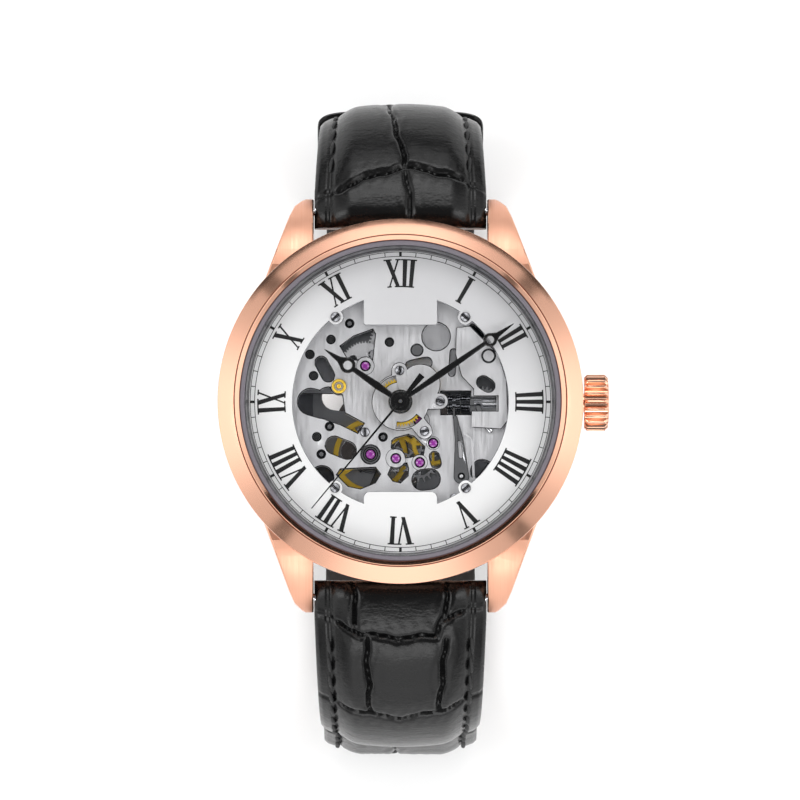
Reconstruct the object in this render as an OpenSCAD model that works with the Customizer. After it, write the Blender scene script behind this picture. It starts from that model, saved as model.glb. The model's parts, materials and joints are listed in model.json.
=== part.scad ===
// Skeleton wristwatch: every piece in one frame, in millimetres.
// The origin is the middle of the case back's outer face.
// +Z runs to the dial, +Y to 12 o'clock and +X to the crown.

/* [Case] */
// Radius of the bezel's outer edge
bezel_r = 21; // [20:0.1:23]
// How far the bezel stands out past the case band
bezel_lip = 0.6; // [0.4:0.1:0.8]
// Height of the middle case's top face over the case back
case_top = 8.1; // [8:0.1:8.6]
// Height of the bezel over the middle case
bezel_h = 3.1; // [2.8:0.1:3.6]
// Distance from the bezel's edge in to the bore that holds the movement
case_wall = 3; // [2.8:0.1:3.4]
// Width of the gap between the lugs
lug_gap = 20; // [18:0.5:21]
// How far a lug's tip stands out past the bezel's edge
lug_length = 3.1; // [2.6:0.1:5]
// Distance from a lug's tip in to its spring bar
bar_inset = 1.9; // [1.5:0.1:2.2]
// Height of the spring bars
bar_z = 2.9; // [2.6:0.1:3.4]
// Radius of a spring bar's tube
bar_r = 0.75; // [0.6:0.05:0.9]
// Height of a lug's tip
lug_tip_z = 0.7; // [0.6:0.1:1.2]

/* [Crystals and back] */
// Thickness of the front crystal at its edge
crystal_t = 1.4; // [1:0.1:1.8]
// Rise of the front crystal's middle over its edge
crystal_dome = 0.3; // [0.1:0.05:0.6]
// Thickness of the case back
back_t = 1.2; // [1.1:0.05:1.3]

/* [Dial and hands] */
// Thickness of the dial
dial_t = 0.4; // [0.3:0.05:0.5]
// Half width of the tabs that stand into the aperture
tab_half = 4.25; // [3.5:0.05:5]
// Height at which the upper tab ends
upper_tab_y = 8.83; // [8:0.1:10]
// Depth at which the lower tab ends
lower_tab_y = 10.3; // [9.5:0.1:11]
// Distance from the dial's edge in to the tip of the hour hand
hour_short = 7.1; // [6:0.1:8.5]
// Distance from the dial's edge in to the tip of the minute hand
minute_short = 1.9; // [1.2:0.1:3]
// Distance from the dial's edge in to the tip of the seconds hand
seconds_short = 1.7; // [0.9:0.1:3]
// Hour that the hands show
shown_hour = 10; // [0:1:11]
// Minute that the hands show
shown_minute = 9.25; // [0:0.05:59.95]
// Second that the hands show
shown_second = 36.6; // [0:0.1:59.9]

/* [Crown] */
// Radius of the crown
crown_r = 3.25; // [2.8:0.05:3.6]
// Length of the crown
crown_len = 2.75; // [2.4:0.05:3.4]
// Number of flutes round the crown
crown_flutes = 22; // [16:1:30]
// Height of the winding stem's axis
stem_z = 6.1; // [6:0.05:6.2]
// Radius of the stem in its tube
stem_r = 0.55; // [0.45:0.05:0.6]

/* [Movement] */
// Radius of the movement
movement_r = 12.9; // [12.8:0.05:13]
// Height of the main plate's lower face
plate_z = 5.5; // [5.45:0.05:5.6]
// Thickness of the main plate
plate_t = 1.2; // [1.15:0.05:1.25]
// Radius of an arbor's pivots
pivot_r = 0.2; // [0.15:0.01:0.22]
// Radius of the small jewels
jewel_r = 0.5; // [0.45:0.02:0.6]
// Outer radius of the balance rim
balance_r = 4.3; // [4:0.05:4.4]
// Radius of the rotor
rotor_r = 12.3; // [11.5:0.1:12.5]

/* [Strap] */
// Length of the strap's buckle half from its spring bar to the buckle's bar
upper_len = 76; // [75.5:0.1:77]
// How much longer the strap's tail half is than its buckle half
tail_extra = 31; // [29:0.5:33]
// Radius of the buckle half's bend by the lugs
upper_bend = 13; // [12:0.1:13]
// Radius of the tail half's bend by the lugs
lower_bend = 17.5; // [17:0.1:18]
// Radius of the bends at the bottom of the loop
low_bend = 13; // [12:0.5:13]
// Width of the strap at the lugs
strap_w = 19.8; // [17.8:0.1:20.8]
// Width of the strap at the buckle and along the tail
strap_end_w = 17.6; // [16:0.1:18]
// Thickness of the strap at the lugs
strap_t = 4.3; // [3.8:0.1:4.6]
// Thickness of the padded strap along its length
strap_mid_t = 3; // [2.6:0.1:3.4]
// Thickness of the strap at its edges
strap_edge_t = 2; // [1.6:0.1:2.2]
// Number of holes in the tail
tail_holes = 7; // [5:1:8]

/* [Hidden] */
$fn = 64;
// Turn of the rotor's weight from +X as modelled
rotor_turn = 225;

// Colours
rose_gold = "#e2a183";
steel = "#c9cacc";
dark_steel = "#6c6d70";
brass = "#d9b64c";
black = "#141414";
ruby = "#8c2f8f";
glass = "#cfdde466";
leather = "#1b1b1b";
silver = "#d6d6d8";

// Clearances
run = 0.05;       // radial clearance of what turns in what
seat = 0.02;      // clearance of what is pressed or set into what
air = 0.1;        // clearance between layers

// Radii and lengths that follow the case and the movement
band_r = bezel_r - bezel_lip;
case_bore_r = bezel_r - case_wall;
gap_wall_r = band_r - 1;
lug_reach = bezel_r + lug_length;
bar_y = lug_reach - bar_inset;
crystal_r = case_bore_r - 0.15;
dial_r = case_bore_r - 0.3;
aperture_r = movement_r - 0.5;
back_window_r = movement_r + 0.3;
hour_len = dial_r - hour_short;
minute_len = dial_r - minute_short;
seconds_len = dial_r - seconds_short;
tail_len = upper_len + tail_extra;
// Depth of the strap's lowest stretch under the case back, so that both halves end clear of each other
loop_depth = upper_len - 16;

// Heights of the layers, worked out from the back to the front
plate_top = plate_z + plate_t;
rotor_z = back_t + 0.25;
rotor_t = 0.45;
weight_t = 1;
wheel_t = 0.2;
winding_z = rotor_z + weight_t + 0.15;
winding_t = 0.25;
bridge_z = winding_z + winding_t + air;
bridge_t = 0.65;
bridge_top = bridge_z + bridge_t;
spring_z = bridge_z + 0.45;
balance_z = bridge_top + 0.15;
balance_t = 0.3;
third_z = balance_z + balance_t + air;
pallet_cock_t = 0.25;
escape_z = third_z + 0.35;
fourth_z = escape_z + 0.3;
barrel_z = bridge_top + air;
barrel_top = plate_z - 0.5;
centre_z = plate_z - 0.35;
minute_z = plate_top + air;
hour_z = minute_z + 0.3;
cover_z = hour_z + 0.2;
cover_t = 0.15;
dial_z = cover_z + cover_t + air;
dial_top = dial_z + dial_t;
hour_hand_z = dial_top + 0.35;
minute_hand_z = hour_hand_z + 0.4;
seconds_hand_z = minute_hand_z + 0.4;
hand_t = 0.2;
bezel_top = case_top + bezel_h;
crystal_top = bezel_top + 0.1;
crystal_z = crystal_top - crystal_t;

// Places of the arbors on the plate
third_at = [2.14, -2.13];
train_gap = norm(third_at);
fourth_at = third_at + train_gap * [0.536, -0.844];
escape_at = [2.21, -6.89];
fork_at = [-0.53, -6.43];
balance_at = [-3.44, -5.97];
reverse_at = [-4.03, 4.22];
barrel_at = [1.9, 6.04];
minute_at = [2.3, 2.1];
winding_gap = 5.45;
winding_at = barrel_at + winding_gap * [cos(-24), sin(-24)];
lever_at = [9.55, -2.15];
yoke_at = [7, -8.5];
dial_screw_at = [[-7.45, 9.75], [7.45, 9.75], [-7.5, -9.9], [7.5, -9.9]];
jewel_at = [reverse_at, third_at, fourth_at, escape_at, fork_at];
plate_screw_at = [[-4.09, -3.42], [6.2, -11], [-1.8, -10.9]];
cover_screw_at = [[-0.1, 3.64], [4.57, 0.11], [2.76, -3.33]];
screw_r = 0.58;
bush_at = [-7.07, 1.86];
pallet_foot_at = [[-1.75, -4.9], [-1.9, -8.1]];
post_r = 0.42;
cock_at = [-7, -11.5];
spring_foot_at = [8.45, -9.25];

// Teeth of the wheels and the leaves of their pinions
centre_teeth = 80;
third_leaves = 10;
third_teeth = 75;
fourth_leaves = 10;
fourth_teeth = 70;
escape_leaves = 7;
barrel_teeth = 84;
centre_leaves = 12;
cannon_leaves = 12;
minute_teeth = 24;
minute_leaves = 8;
hour_teeth = 48;
ratchet_teeth = 32;
winding_teeth = 34;
crown_teeth = 22;
rotor_teeth = 42;
reverse_teeth = 49;
crown_gap = winding_gap * (crown_teeth + winding_teeth) / (ratchet_teeth + winding_teeth);
crown_wheel_at = [winding_at[0] + sqrt(crown_gap * crown_gap - winding_at[1] * winding_at[1]), 0];

// Direction of point b seen from point a
function bearing(a, b) = atan2(b[1] - a[1], b[0] - a[0]);
// Pitch radius of a wheel of n teeth that meets one of m teeth over a distance
function pitch(distance, n, m) = distance * n / (n + m);
// Angle of the first tooth of a follower so that it meets its driver in mesh
function mesh(a, b, phase, n, m) =
    bearing(a, b) + 180 - (0.5 - (bearing(a, b) - phase) * n / 360) * 360 / m;
// Outline of a toothed wheel
function teeth(n, r, phase = 0, up = 0.9, down = 1.2) =
    let (step = 360 / n, size = 2 * r / n)
    [for (i = [0:n - 1], k = [[-0.3, -down], [-0.11, up], [0.11, up], [0.3, -down]])
        let (a = phase + (i + k[0]) * step, d = r + k[1] * size) d * [cos(a), sin(a)]];
// Points of an arc from angle a to angle b
function arc(centre, r, a, b, n) =
    [for (i = [0:n]) let (t = a + (b - a) * i / n) centre + r * [cos(t), sin(t)]];

module at(p, z = 0) { translate([p[0], p[1], z]) children(); }
module disc(r, z0, z1) { translate([0, 0, z0]) cylinder(r = r, h = z1 - z0); }
module ring(r_out, r_in, z0, z1) {
    translate([0, 0, z0]) difference() {
        cylinder(r = r_out, h = z1 - z0);
        translate([0, 0, -1]) cylinder(r = r_in, h = z1 - z0 + 2);
    }
}
module slab(z0, z1) { translate([0, 0, z0]) linear_extrude(z1 - z0) children(); }
module along_x(x0) { translate([x0, 0, stem_z]) rotate([0, 90, 0]) children(); }

// ---- Case ----
module lug_plan() {
    half = lug_gap / 2;
    polygon([[half, 12], [half, lug_reach - 0.1], [half + 0.3, lug_reach], [half + 1.3, lug_reach - 0.4],
        [half + 2.2, lug_reach - 1.2], [half + 2.8, lug_reach - 2.5], [half + 6, 13], [half + 7, 9]]);
}
module lug_profile() {
    sweep = lug_reach - 15;
    low = asin((lug_tip_z - case_top + 0.2 + sweep) / sweep);
    polygon(concat([[12, 1], [12, case_top - 0.2]], arc([15, case_top - 0.2 - sweep], sweep, 90, low, 14),
        [[lug_reach - 0.35, 0.5], [lug_reach - 1, 0.2], [bar_y - 3, 0.5]]));
}
module lug() {
    intersection() {
        slab(0, case_top) lug_plan();
        translate([lug_gap / 2 - 1, 0, 0]) rotate([90, 0, 90]) linear_extrude(12) lug_profile();
    }
}
module quarters() {
    for (a = [0, 1], b = [0, 1]) mirror([a, 0, 0]) mirror([0, b, 0]) children();
}
module middle_case() color(rose_gold) difference() {
    union() {
        rotate_extrude($fn = 128) polygon([[case_bore_r, back_t], [case_bore_r + 0.65, back_t],
            [case_bore_r + 0.65, 0.45], [band_r - 1, 0.45], [band_r - 0.3, 1.2], [band_r, 2.4],
                [band_r, case_top - 1],
            [band_r - 0.2, case_top], [case_bore_r, case_top]]);
        difference() {
            quarters() lug();
            disc(band_r - 0.9, -1, case_top + 1);
        }
    }
    for (side = [-1, 1]) intersection() {
        translate([-lug_gap / 2, side > 0 ? 15 : -30, -1]) cube([lug_gap, 15, case_top + 0.4]);
        ring(30, gap_wall_r, -1, case_top + 1);
    }
    quarters() translate([lug_gap / 2 - 1, bar_y, bar_z]) rotate([0, 90, 0])
        cylinder(r = bar_r * 0.6 + run, h = 2.4);
    along_x(case_bore_r - 2) cylinder(r = stem_r + 0.55, h = 6);
}
module bezel() color(rose_gold) rotate_extrude($fn = 128) {
    inner = crystal_r + 0.6;
    rim = bezel_r - 1.9;
    polygon(concat([[inner, case_top], [bezel_r - 0.4, case_top], [bezel_r, case_top + 0.35],
        [bezel_r, case_top + 0.8]], arc([bezel_r - 5.6, case_top - 2.35], 6.35, 28, 56.5, 6),
        [[rim, bezel_top - 0.3], [rim - 0.08, bezel_top - 0.05], [rim - 0.2, bezel_top],
            [inner + 0.15, bezel_top],
        [inner, bezel_top - 0.15]]));
}
module crystal() color(glass) rotate_extrude($fn = 128) {
    dome_r = (crystal_r * crystal_r + crystal_dome * crystal_dome) / 2 / crystal_dome;
    tilt = asin((crystal_r - 0.3) / dome_r);
    polygon(concat([[0, crystal_z], [crystal_r, crystal_z], [crystal_r, crystal_top - 0.3]],
        [for (i = [0:6]) let (a = tilt * (1 - i / 6))
        [dome_r * sin(a), crystal_top + dome_r * (cos(a) - cos(tilt))]]));
}
module crystal_gasket() color(dark_steel)
    ring(crystal_r + 0.58, crystal_r + seat, crystal_z, bezel_top - 0.15, $fn = 128);
module rehaut() color(dark_steel) rotate_extrude($fn = 128)
    polygon([[dial_r - 0.64, dial_top], [case_bore_r - run, dial_top], [case_bore_r - run, case_top + run],
        [crystal_r + 0.5, case_top + run], [crystal_r + 0.5, crystal_z], [dial_r + 0.05, crystal_z],
        [dial_r - 0.64, dial_top + 0.25]]);
module case_back() color(rose_gold) difference() {
    rotate_extrude($fn = 128) polygon([[back_window_r, 0.15], [back_window_r + 0.15, 0], [case_bore_r, 0],
        [case_bore_r + 0.6, 0.5], [case_bore_r + 0.6, back_t], [back_window_r, back_t]]);
    for (i = [0:5]) rotate(60 * i + 30) translate([case_bore_r - 1.6, 0, -1]) cylinder(r = 0.9, h = 1.45);
}
module back_crystal() color(glass) disc(back_window_r - 0.5, 0, back_t - 0.05, $fn = 128);
module back_gasket() color(black)
    ring(back_window_r - seat, back_window_r - 0.5 + seat, 0.2, back_t - 0.05, $fn = 128);
module movement_ring() color(silver) difference() {
    rotate_extrude($fn = 128) polygon([[movement_r + run, back_t], [case_bore_r - run, back_t],
        [case_bore_r - run, dial_z], [movement_r + 0.45, dial_z], [movement_r + 0.45, plate_top - 0.4],
        [movement_r + run, plate_top - 0.4]]);
    along_x(movement_r - 1) cylinder(r = stem_r + 0.15, h = case_bore_r);
}
module crown_tube() color(rose_gold) along_x(case_bore_r) difference() {
    cylinder(r = stem_r + 0.5, h = bezel_r + 0.7 - case_bore_r);
    translate([0, 0, -1]) cylinder(r = stem_r + run, h = bezel_r);
}
module spring_bars() color(steel) for (side = [-1, 1]) translate([0, side * bar_y, bar_z])
    rotate([0, 90, 0]) {
    cylinder(r = bar_r, h = lug_gap - 0.3, center = true);
    cylinder(r = bar_r * 0.6, h = lug_gap + 2.4, center = true);
}

// ---- Dial ----
module tab_shape() {
    translate([-tab_half, upper_tab_y]) offset(0.3) offset(-0.3) square([2 * tab_half, aperture_r]);
    translate([-tab_half, -lower_tab_y - aperture_r]) offset(0.75) offset(-0.75)
        square([2 * tab_half, aperture_r]);
}
module aperture() {
    difference() {
        circle(aperture_r, $fn = 180);
        tab_shape();
        for (p = dial_screw_at) translate(p) circle(0.9);
    }
}
module dial() color(silver) slab(dial_z, dial_top) difference() {
    circle(dial_r, $fn = 180);
    aperture();
    for (p = dial_screw_at) translate(p) circle(0.35 + run);
}
module slotted_screw(r, z, length, turn = 0) {
    difference() {
        union() {
            disc(r - 0.04, z, z + 0.18);
            disc(r * 0.5, z - length, z + 0.01);
        }
        rotate(turn) translate([-r, -0.08, z + 0.08]) cube([2 * r, 0.16, 1]);
    }
}
module dial_screws() color(steel) for (i = [0:3]) at(dial_screw_at[i])
    slotted_screw(0.6, dial_top, dial_top - plate_top + 0.4, [40, -40, -40, 40][i]);

// ---- Plate and bridges ----
// Long hole or bar with round ends
module bean(a, b, r) {
    turn = bearing(a, b);
    polygon(concat(arc(a, r, turn + 90, turn + 270, 10), arc(b, r, turn - 90, turn + 90, 10)));
}
// Windows that let the wheels be seen through the main plate
module cloud_window() difference() {
    union() {
        bean([-10.3, 0.1], [-8.9, -0.3], 1.5);
        translate([-8.2, 0.15]) circle(1.6);
        polygon([[-10.4, -1.2], [-8.2, 1.6], [-6.7, 0.9], [-6.4, -1.2], [-4.2, -2.4], [-4.9, -3.5],
            [-6.7, -2.6], [-8.7, -1.9]]);
    }
    translate(bush_at) circle(1);
}
module reversing_window() {
    difference() {
        polygon([[-6.9, 6.5], [-5.4, 7.6], [-3.2, 8.4], [-2.9, 7.9], [-3.3, 4.4], [-4.5, 4.9], [-6, 5]]);
        translate(reverse_at) circle(1.1);
    }
}
// One window each side of the boss that carries the pallet fork
module fork_windows() difference() {
    union() {
        polygon([[-1, -5.2], [-0.95, -4.4], [-0.6, -4.1], [0.9, -3.7], [1.5, -3.9], [2.75, -5.1],
            [2.6, -6], [0.2, -6.4]]);
        polygon([[-1.4, -8.3], [-1, -7.3], [0.7, -7], [0.9, -7.6], [0.85, -8.4], [0, -9.2], [-0.85, -9]]);
    }
    translate(fork_at) circle(1.15);
    translate(escape_at) circle(0.95);
    translate(fourth_at) circle(0.95);
}
module plate_windows() {
    cloud_window();
    reversing_window();
    bean([-9.1, 4.6], [-8.3, 3.1], 0.7);
    bean([-7.6, -4.9], [-6.1, -5.5], 1);
    polygon([[-7.3, -8.3], [-6.9, -7.7], [-2.8, -7.5], [-2.3, -8.2], [-2.9, -9.2], [-4.6, -9.9], [-6, -9.6]]);
    fork_windows();
    bean([3.9, -6.2], [4.1, -7], 0.55);
    bean([2.5, -8.9], [3.4, -8.8], 1.15);
    bean([1.2, 4.2], [3, 4.6], 0.6);
    translate([4.1, 7.6]) circle(1.6);
    bean([6.1, 5.8], [5.9, 3.4], 0.35);
    bean([8.3, 8.6], [9.2, 7.8], 0.35);
    bean([9.5, 2.3], [10.1, 1.9], 0.75);
    translate([-9, -8.6]) circle(1.3);
    translate([9.4, -7.9]) circle(1.3);
    translate([4.7, -1.35]) square([3.4, 2.7]);
    translate([8, -1]) square([3, 1.6]);
}
module dial_side_holes() {
    for (p = [[-1.26, 6.96], [-5.84, 9.11], [-7.99, 7.26], [-10.4, 5.54], [-9.98, 3.09], [-8.14, -2.75],
        [-9.61, -3.94], [-9.09, -5.94], [-2, -3.97], [8.7, 3.5], [11.4, -2.2]])
        translate(p) circle(0.38, $fn = 32);
}
module main_plate() color(silver) {
    difference() {
        union() {
            disc(movement_r, plate_z, plate_top, $fn = 128);
            disc(movement_r + 0.4, plate_top - 0.4, plate_top, $fn = 128);
            ring(movement_r, movement_r - 0.75, bridge_top, plate_z + 0.1, $fn = 128);
        }
        slab(plate_z - 1, plate_top + 1) plate_windows();
        slab(plate_top - 0.5, plate_top + 1) dial_side_holes();
        for (p = jewel_at) at(p, plate_z - 1) cylinder(r = jewel_r + seat, h = plate_t + 2);
        at(balance_at, plate_z - 1) cylinder(r = 1.05 + seat, h = plate_t + 2);
        at(barrel_at, plate_z - 1) cylinder(r = 0.6 + run, h = plate_t + 2);
        at([0, 0], plate_z - 1) cylinder(r = 0.5 + run, h = plate_t + 2);
        for (p = dial_screw_at) at(p, plate_top - 0.6) cylinder(r = 0.3 + run, h = 1);
        for (p = plate_screw_at) at(p, plate_top - 0.5) cylinder(r = screw_r / 2 + seat, h = 1);
        along_x(10) cylinder(r = 0.4 + run, h = 5);
    }
    at(minute_at, plate_top - 0.1) cylinder(r = pivot_r, h = hour_z - plate_top + 0.15);
    for (p = [lever_at, yoke_at]) at(p, plate_top - 0.1) cylinder(r = 0.3, h = 0.4);
}
// Shape of the bridge that holds the wheels of the train
module train_shape() {
    hull() {
        circle(2.2);
        translate(third_at) circle(1.4);
    }
    hull() {
        translate(third_at) circle(1.4);
        translate(escape_at) circle(1.4);
        translate(fourth_at + [2, -1.5]) circle(1.6);
    }
    intersection() {
        circle(movement_r - 0.05);
        polygon([[2, -6], [1.5, -13], [11.5, -7.5], [6, -4]]);
    }
}
module train_bridge() color(steel) difference() {
    slab(bridge_z, bridge_top) train_shape();
    for (p = [[0, 0], third_at, fourth_at, escape_at])
        at(p, bridge_z + 0.1) cylinder(r = pivot_r + run, h = 2);
    at([5.5, -9.5], bridge_z - 1) cylinder(r = 0.4, h = 3);
}
module barrel_shape() {
    intersection() {
        circle(movement_r - 0.05);
        polygon([[-13, 1.2], [-7, 1.2], [-3.2, 2.6], [2.6, 2.6], [5, 0.4], [6, -3], [13, -3], [13, 13],
            [-13, 13]]);
    }
}
module barrel_bridge() color(steel) difference() {
    slab(bridge_z, bridge_top) barrel_shape();
    at(barrel_at, bridge_z - 1) cylinder(r = 0.6 + run, h = 3);
    at(reverse_at, bridge_z - 1) cylinder(r = 0.3 + run, h = 3);
    at(winding_at, bridge_z - 1) cylinder(r = 0.5 + run, h = 3);
    at(crown_wheel_at, bridge_z - 1) cylinder(r = 0.6 + run, h = 3);
}
module balance_cock() color(steel) difference() {
    union() {
        slab(bridge_z, spring_z - air) intersection() {
            circle(movement_r - 0.05, $fn = 128);
            union() {
                hull() {
                    translate(balance_at) circle(1.3);
                    translate(cock_at) circle(2.4);
                }
            }
        }
        slab(bridge_z, bridge_top) intersection() {
            difference() {
                circle(movement_r - 0.05, $fn = 128);
                translate(balance_at) circle(balance_r + 0.25, $fn = 96);
            }
            translate(cock_at) circle(2.4);
        }
    }
    at(balance_at, bridge_z + 0.1) cylinder(r = pivot_r + run, h = 2);
}
// Cock that carries the pallet fork's lower pivot, hung from the main plate clear of the balance's
// rim and arms
module pallet_cock() color(steel) difference() {
    union() {
        slab(third_z, third_z + pallet_cock_t) {
            for (p = pallet_foot_at) bean(p, fork_at, 0.45);
            translate(fork_at) circle(0.6);
        }
        for (p = pallet_foot_at) at(p) disc(0.4, third_z + pallet_cock_t - 0.01, plate_z);
    }
    at(fork_at, third_z + 0.05) cylinder(r = pivot_r + run, h = 1, $fn = 32);
}
module jewels() color(ruby) {
    for (p = jewel_at) at(p) ring(jewel_r, pivot_r + run, plate_top - 0.55, plate_top - 0.05, $fn = 32);
}
module balance_jewel() {
    color(steel) at(balance_at) ring(1.05, 0.55 + seat, plate_top - 0.8, plate_top + 0.05);
    color(ruby) at(balance_at) ring(0.55, pivot_r + run, plate_top - 0.6, plate_top, $fn = 48);
}
module plate_screws() color(steel) {
    for (i = [0:2]) at(cover_screw_at[i]) slotted_screw(screw_r, cover_z + cover_t, 0.6, [75, -10, 8][i]);
    for (i = [0:2]) at(plate_screw_at[i]) slotted_screw(screw_r, plate_top, 0.4, [85, 20, 0][i]);
}
module motion_cover() color(silver) difference() {
    union() {
        slab(cover_z, cover_z + cover_t) {
            circle(3.3);
            for (p = cover_screw_at) bean(p, p * 0.45, 0.95);
            hull() {
                translate(minute_at) circle(2.3);
                circle(2);
            }
        }
        for (p = cover_screw_at) at(p) disc(post_r, plate_top, cover_z + 0.01);
    }
    slab(cover_z - 0.1, cover_z + 1) for (a = [[100, 150], [-100, -38]])
        polygon(concat(arc([0, 0], 3.05, a[0], a[1], 12), arc([0, 0], 2.35, a[1], a[0], 12)));
    for (p = cover_screw_at) at(p, cover_z - 0.8) cylinder(r = screw_r / 2 + run, h = 2);
    at([0, 0], cover_z - 1) cylinder(r = 1.05, h = 2);
}
module keyless_cover() color(silver) difference() {
    union() {
        slab(cover_z - 0.2, cover_z) difference() {
            polygon([[6.4, 8.6], [8, 8.8], [11.2, 5.6], [12.2, 2.6], [12.4, -2], [11.6, -3.1],
                [8.2, -2.9], [8.4, 1.5],
                [7, 3], [6.3, 5.5]]);
            bean([9.5, 2.3], [10.1, 1.9], 0.75);
            translate([8.3, -1]) square([2.9, 1.7]);
        }
        for (p = [[10.13, 5.33], [11.4, -2.2], [8.2, 7.2]]) at(p) disc(0.6, plate_top, cover_z - 0.1);
    }
    at([10.13, 5.33]) ring(0.78, 0.7, cover_z - 0.1, cover_z + 1);
}
module yoke_spring() color(steel) {
    slab(minute_z, minute_z + 0.25) {
        bean(spring_foot_at, [8.2, -4.2], 0.14);
        bean([8.2, -4.2], [7.35, -3.6], 0.12);
        translate(spring_foot_at) circle(0.6);
    }
    at(spring_foot_at) disc(0.45, plate_top, minute_z + 0.02);
}
module winding_bush() color(brass) at(bush_at) {
    ring(0.86, 0.5, plate_top, plate_top + 0.25);
    disc(0.3, plate_top, plate_top + 0.2);
}

// ---- Train ----
module wheel(n, r, z, t, spokes, hub, phase = 0) {
    rim = r * 0.8;
    slab(z, z + t) difference() {
        polygon(teeth(n, r, phase));
        if (spokes > 0) difference() {
            circle(rim);
            circle(hub);
            for (i = [0:spokes - 1]) rotate(360 / spokes * i) translate([0, -r * 0.06]) square([r, r * 0.12]);
        }
    }
}
module leaves(n, r, z0, z1, phase = 0) { slab(z0, z1) polygon(teeth(n, r, phase)); }
module arbor(r, z0, z1, tip = 0) {
    disc(r, z0, z1);
    if (tip > 0) disc(pivot_r, z0 - tip, z1 + tip, $fn = 32);
}
// Phases, each wheel in mesh with the one that it meets
centre_r = pitch(train_gap, centre_teeth, third_leaves);
third_phase = mesh([0, 0], third_at, 0, centre_teeth, third_leaves);
sweep_phase = mesh(third_at, [0, 0], 0, third_teeth, third_leaves);
fourth_phase = mesh(third_at, fourth_at, 0, third_teeth, fourth_leaves);
escape_phase = mesh(fourth_at, escape_at, 0, fourth_teeth, escape_leaves);
centre_phase = mesh(barrel_at, [0, 0], 0, barrel_teeth, centre_leaves);
minute_phase = mesh([0, 0], minute_at, 0, cannon_leaves, minute_teeth);
hour_phase = mesh(minute_at, [0, 0], 0, minute_leaves, hour_teeth);
winding_phase = mesh(barrel_at, winding_at, 0, ratchet_teeth, winding_teeth);
crown_phase = mesh(winding_at, crown_wheel_at, winding_phase, winding_teeth, crown_teeth);
reverse_phase = mesh([0, 0], reverse_at, 0, rotor_teeth, reverse_teeth);

module barrel() color(silver) at(barrel_at) difference() {
    r = pitch(norm(barrel_at), barrel_teeth, centre_leaves);
    union() {
        disc(r - 0.5, barrel_z, barrel_top, $fn = 96);
        leaves(barrel_teeth, r, barrel_top - 0.28, barrel_top - 0.03);
    }
    disc(0.6 + run, 0, 10);
    ring(r - 0.9, r - 1.1, barrel_top - 0.08, barrel_top + 1);
}
module centre_wheel() color(brass) difference() {
    union() {
        wheel(centre_teeth, centre_r, centre_z, wheel_t, 5, 0.9);
        leaves(centre_leaves, pitch(norm(barrel_at), centre_leaves, barrel_teeth), barrel_top - 0.32,
            barrel_top,
            centre_phase);
        disc(0.36, barrel_top - 0.35, hour_z + 0.9);
        disc(0.5, barrel_top - 0.1, plate_top - 0.1);
    }
    disc(pivot_r + run, 0, 12, $fn = 32);
}
module third_wheel() color(brass) at(third_at) {
    wheel(third_teeth, pitch(train_gap, third_teeth, third_leaves), third_z, wheel_t, 4, 0.6);
    leaves(third_leaves, pitch(train_gap, third_leaves, centre_teeth), centre_z - 0.05,
        centre_z + wheel_t + 0.05,
        third_phase);
    arbor(0.24, bridge_top + 0.05, plate_top - 0.65, 0.45);
}
module fourth_wheel() color(brass) at(fourth_at) {
    gap = norm(escape_at - fourth_at);
    wheel(fourth_teeth, pitch(gap, fourth_teeth, escape_leaves), fourth_z, 0.15, 4, 0.6);
    leaves(fourth_leaves, pitch(train_gap, fourth_leaves, third_teeth), third_z - 0.03,
        third_z + wheel_t + 0.03,
        fourth_phase);
    arbor(0.24, bridge_top + 0.05, plate_top - 0.65, 0.45);
}
// Escape wheel: 18 club teeth that lean the way it turns
module escape_wheel() color(steel) at(escape_at) {
    slab(escape_z, escape_z + 0.15) difference() {
        polygon([for (i = [0:17], k = [[0, 1.62], [4, 2.12], [7, 2.2], [8.5, 1.72]])
            k[1] * [cos(20 * i + k[0]), sin(20 * i + k[0])]]);
        difference() {
            circle(1.4);
            circle(0.5);
            for (i = [0:3]) rotate(90 * i) translate([0, -0.13]) square([1.5, 0.26]);
        }
    }
    leaves(escape_leaves, pitch(norm(escape_at - fourth_at), escape_leaves, fourth_teeth), fourth_z - 0.05,
        fourth_z + 0.2, escape_phase);
    arbor(0.2, bridge_top + 0.05, plate_top - 0.65, 0.45);
}
// Pallet fork: two arms with stones towards the escape wheel, and a forked lever towards the balance
module pallet_fork() {
    to_wheel = bearing(fork_at, escape_at);
    to_balance = bearing(fork_at, balance_at);
    lever = norm(balance_at - fork_at) - 0.68;
    color(steel) at(fork_at) {
        slab(escape_z, escape_z + 0.15) {
            rotate(to_wheel) {
                bean([0, -1.25], [0, 1.25], 0.26);
                circle(0.5);
            }
            rotate(to_balance) difference() {
                polygon([[0, -0.3], [lever - 0.5, -0.1], [lever, -0.4], [lever, 0.4], [lever - 0.5, 0.1],
                    [0, 0.3]]);
                translate([lever - 0.28, -0.14]) square([1, 0.28]);
            }
        }
        disc(pivot_r, third_z + 0.08, plate_top - 0.2, $fn = 32);
    }
    color(ruby) at(fork_at, escape_z + 0.15) rotate(to_wheel) for (s = [-1.2, 1.2])
        translate([-0.25, s - 0.15, 0]) cube([0.85, 0.3, 0.12]);
}
module balance_wheel() color(brass) at(balance_at) {
    ring(balance_r, balance_r - 0.6, balance_z, balance_z + balance_t, $fn = 128);
    slab(balance_z + 0.05, balance_z + balance_t - 0.05) {
        for (i = [0:1]) rotate(90 * i + 33) square([2 * balance_r - 0.8, 0.45], center = true);
        circle(0.7);
    }
    disc(0.45, escape_z, escape_z + 0.12);
    translate([0.3, 0, escape_z - 0.15]) cylinder(r = 0.08, h = 0.2, $fn = 24);
    disc(0.3, spring_z + 0.2, plate_top - 0.7);
    disc(pivot_r, bridge_z + 0.15, plate_top - 0.2, $fn = 32);
}
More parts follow.
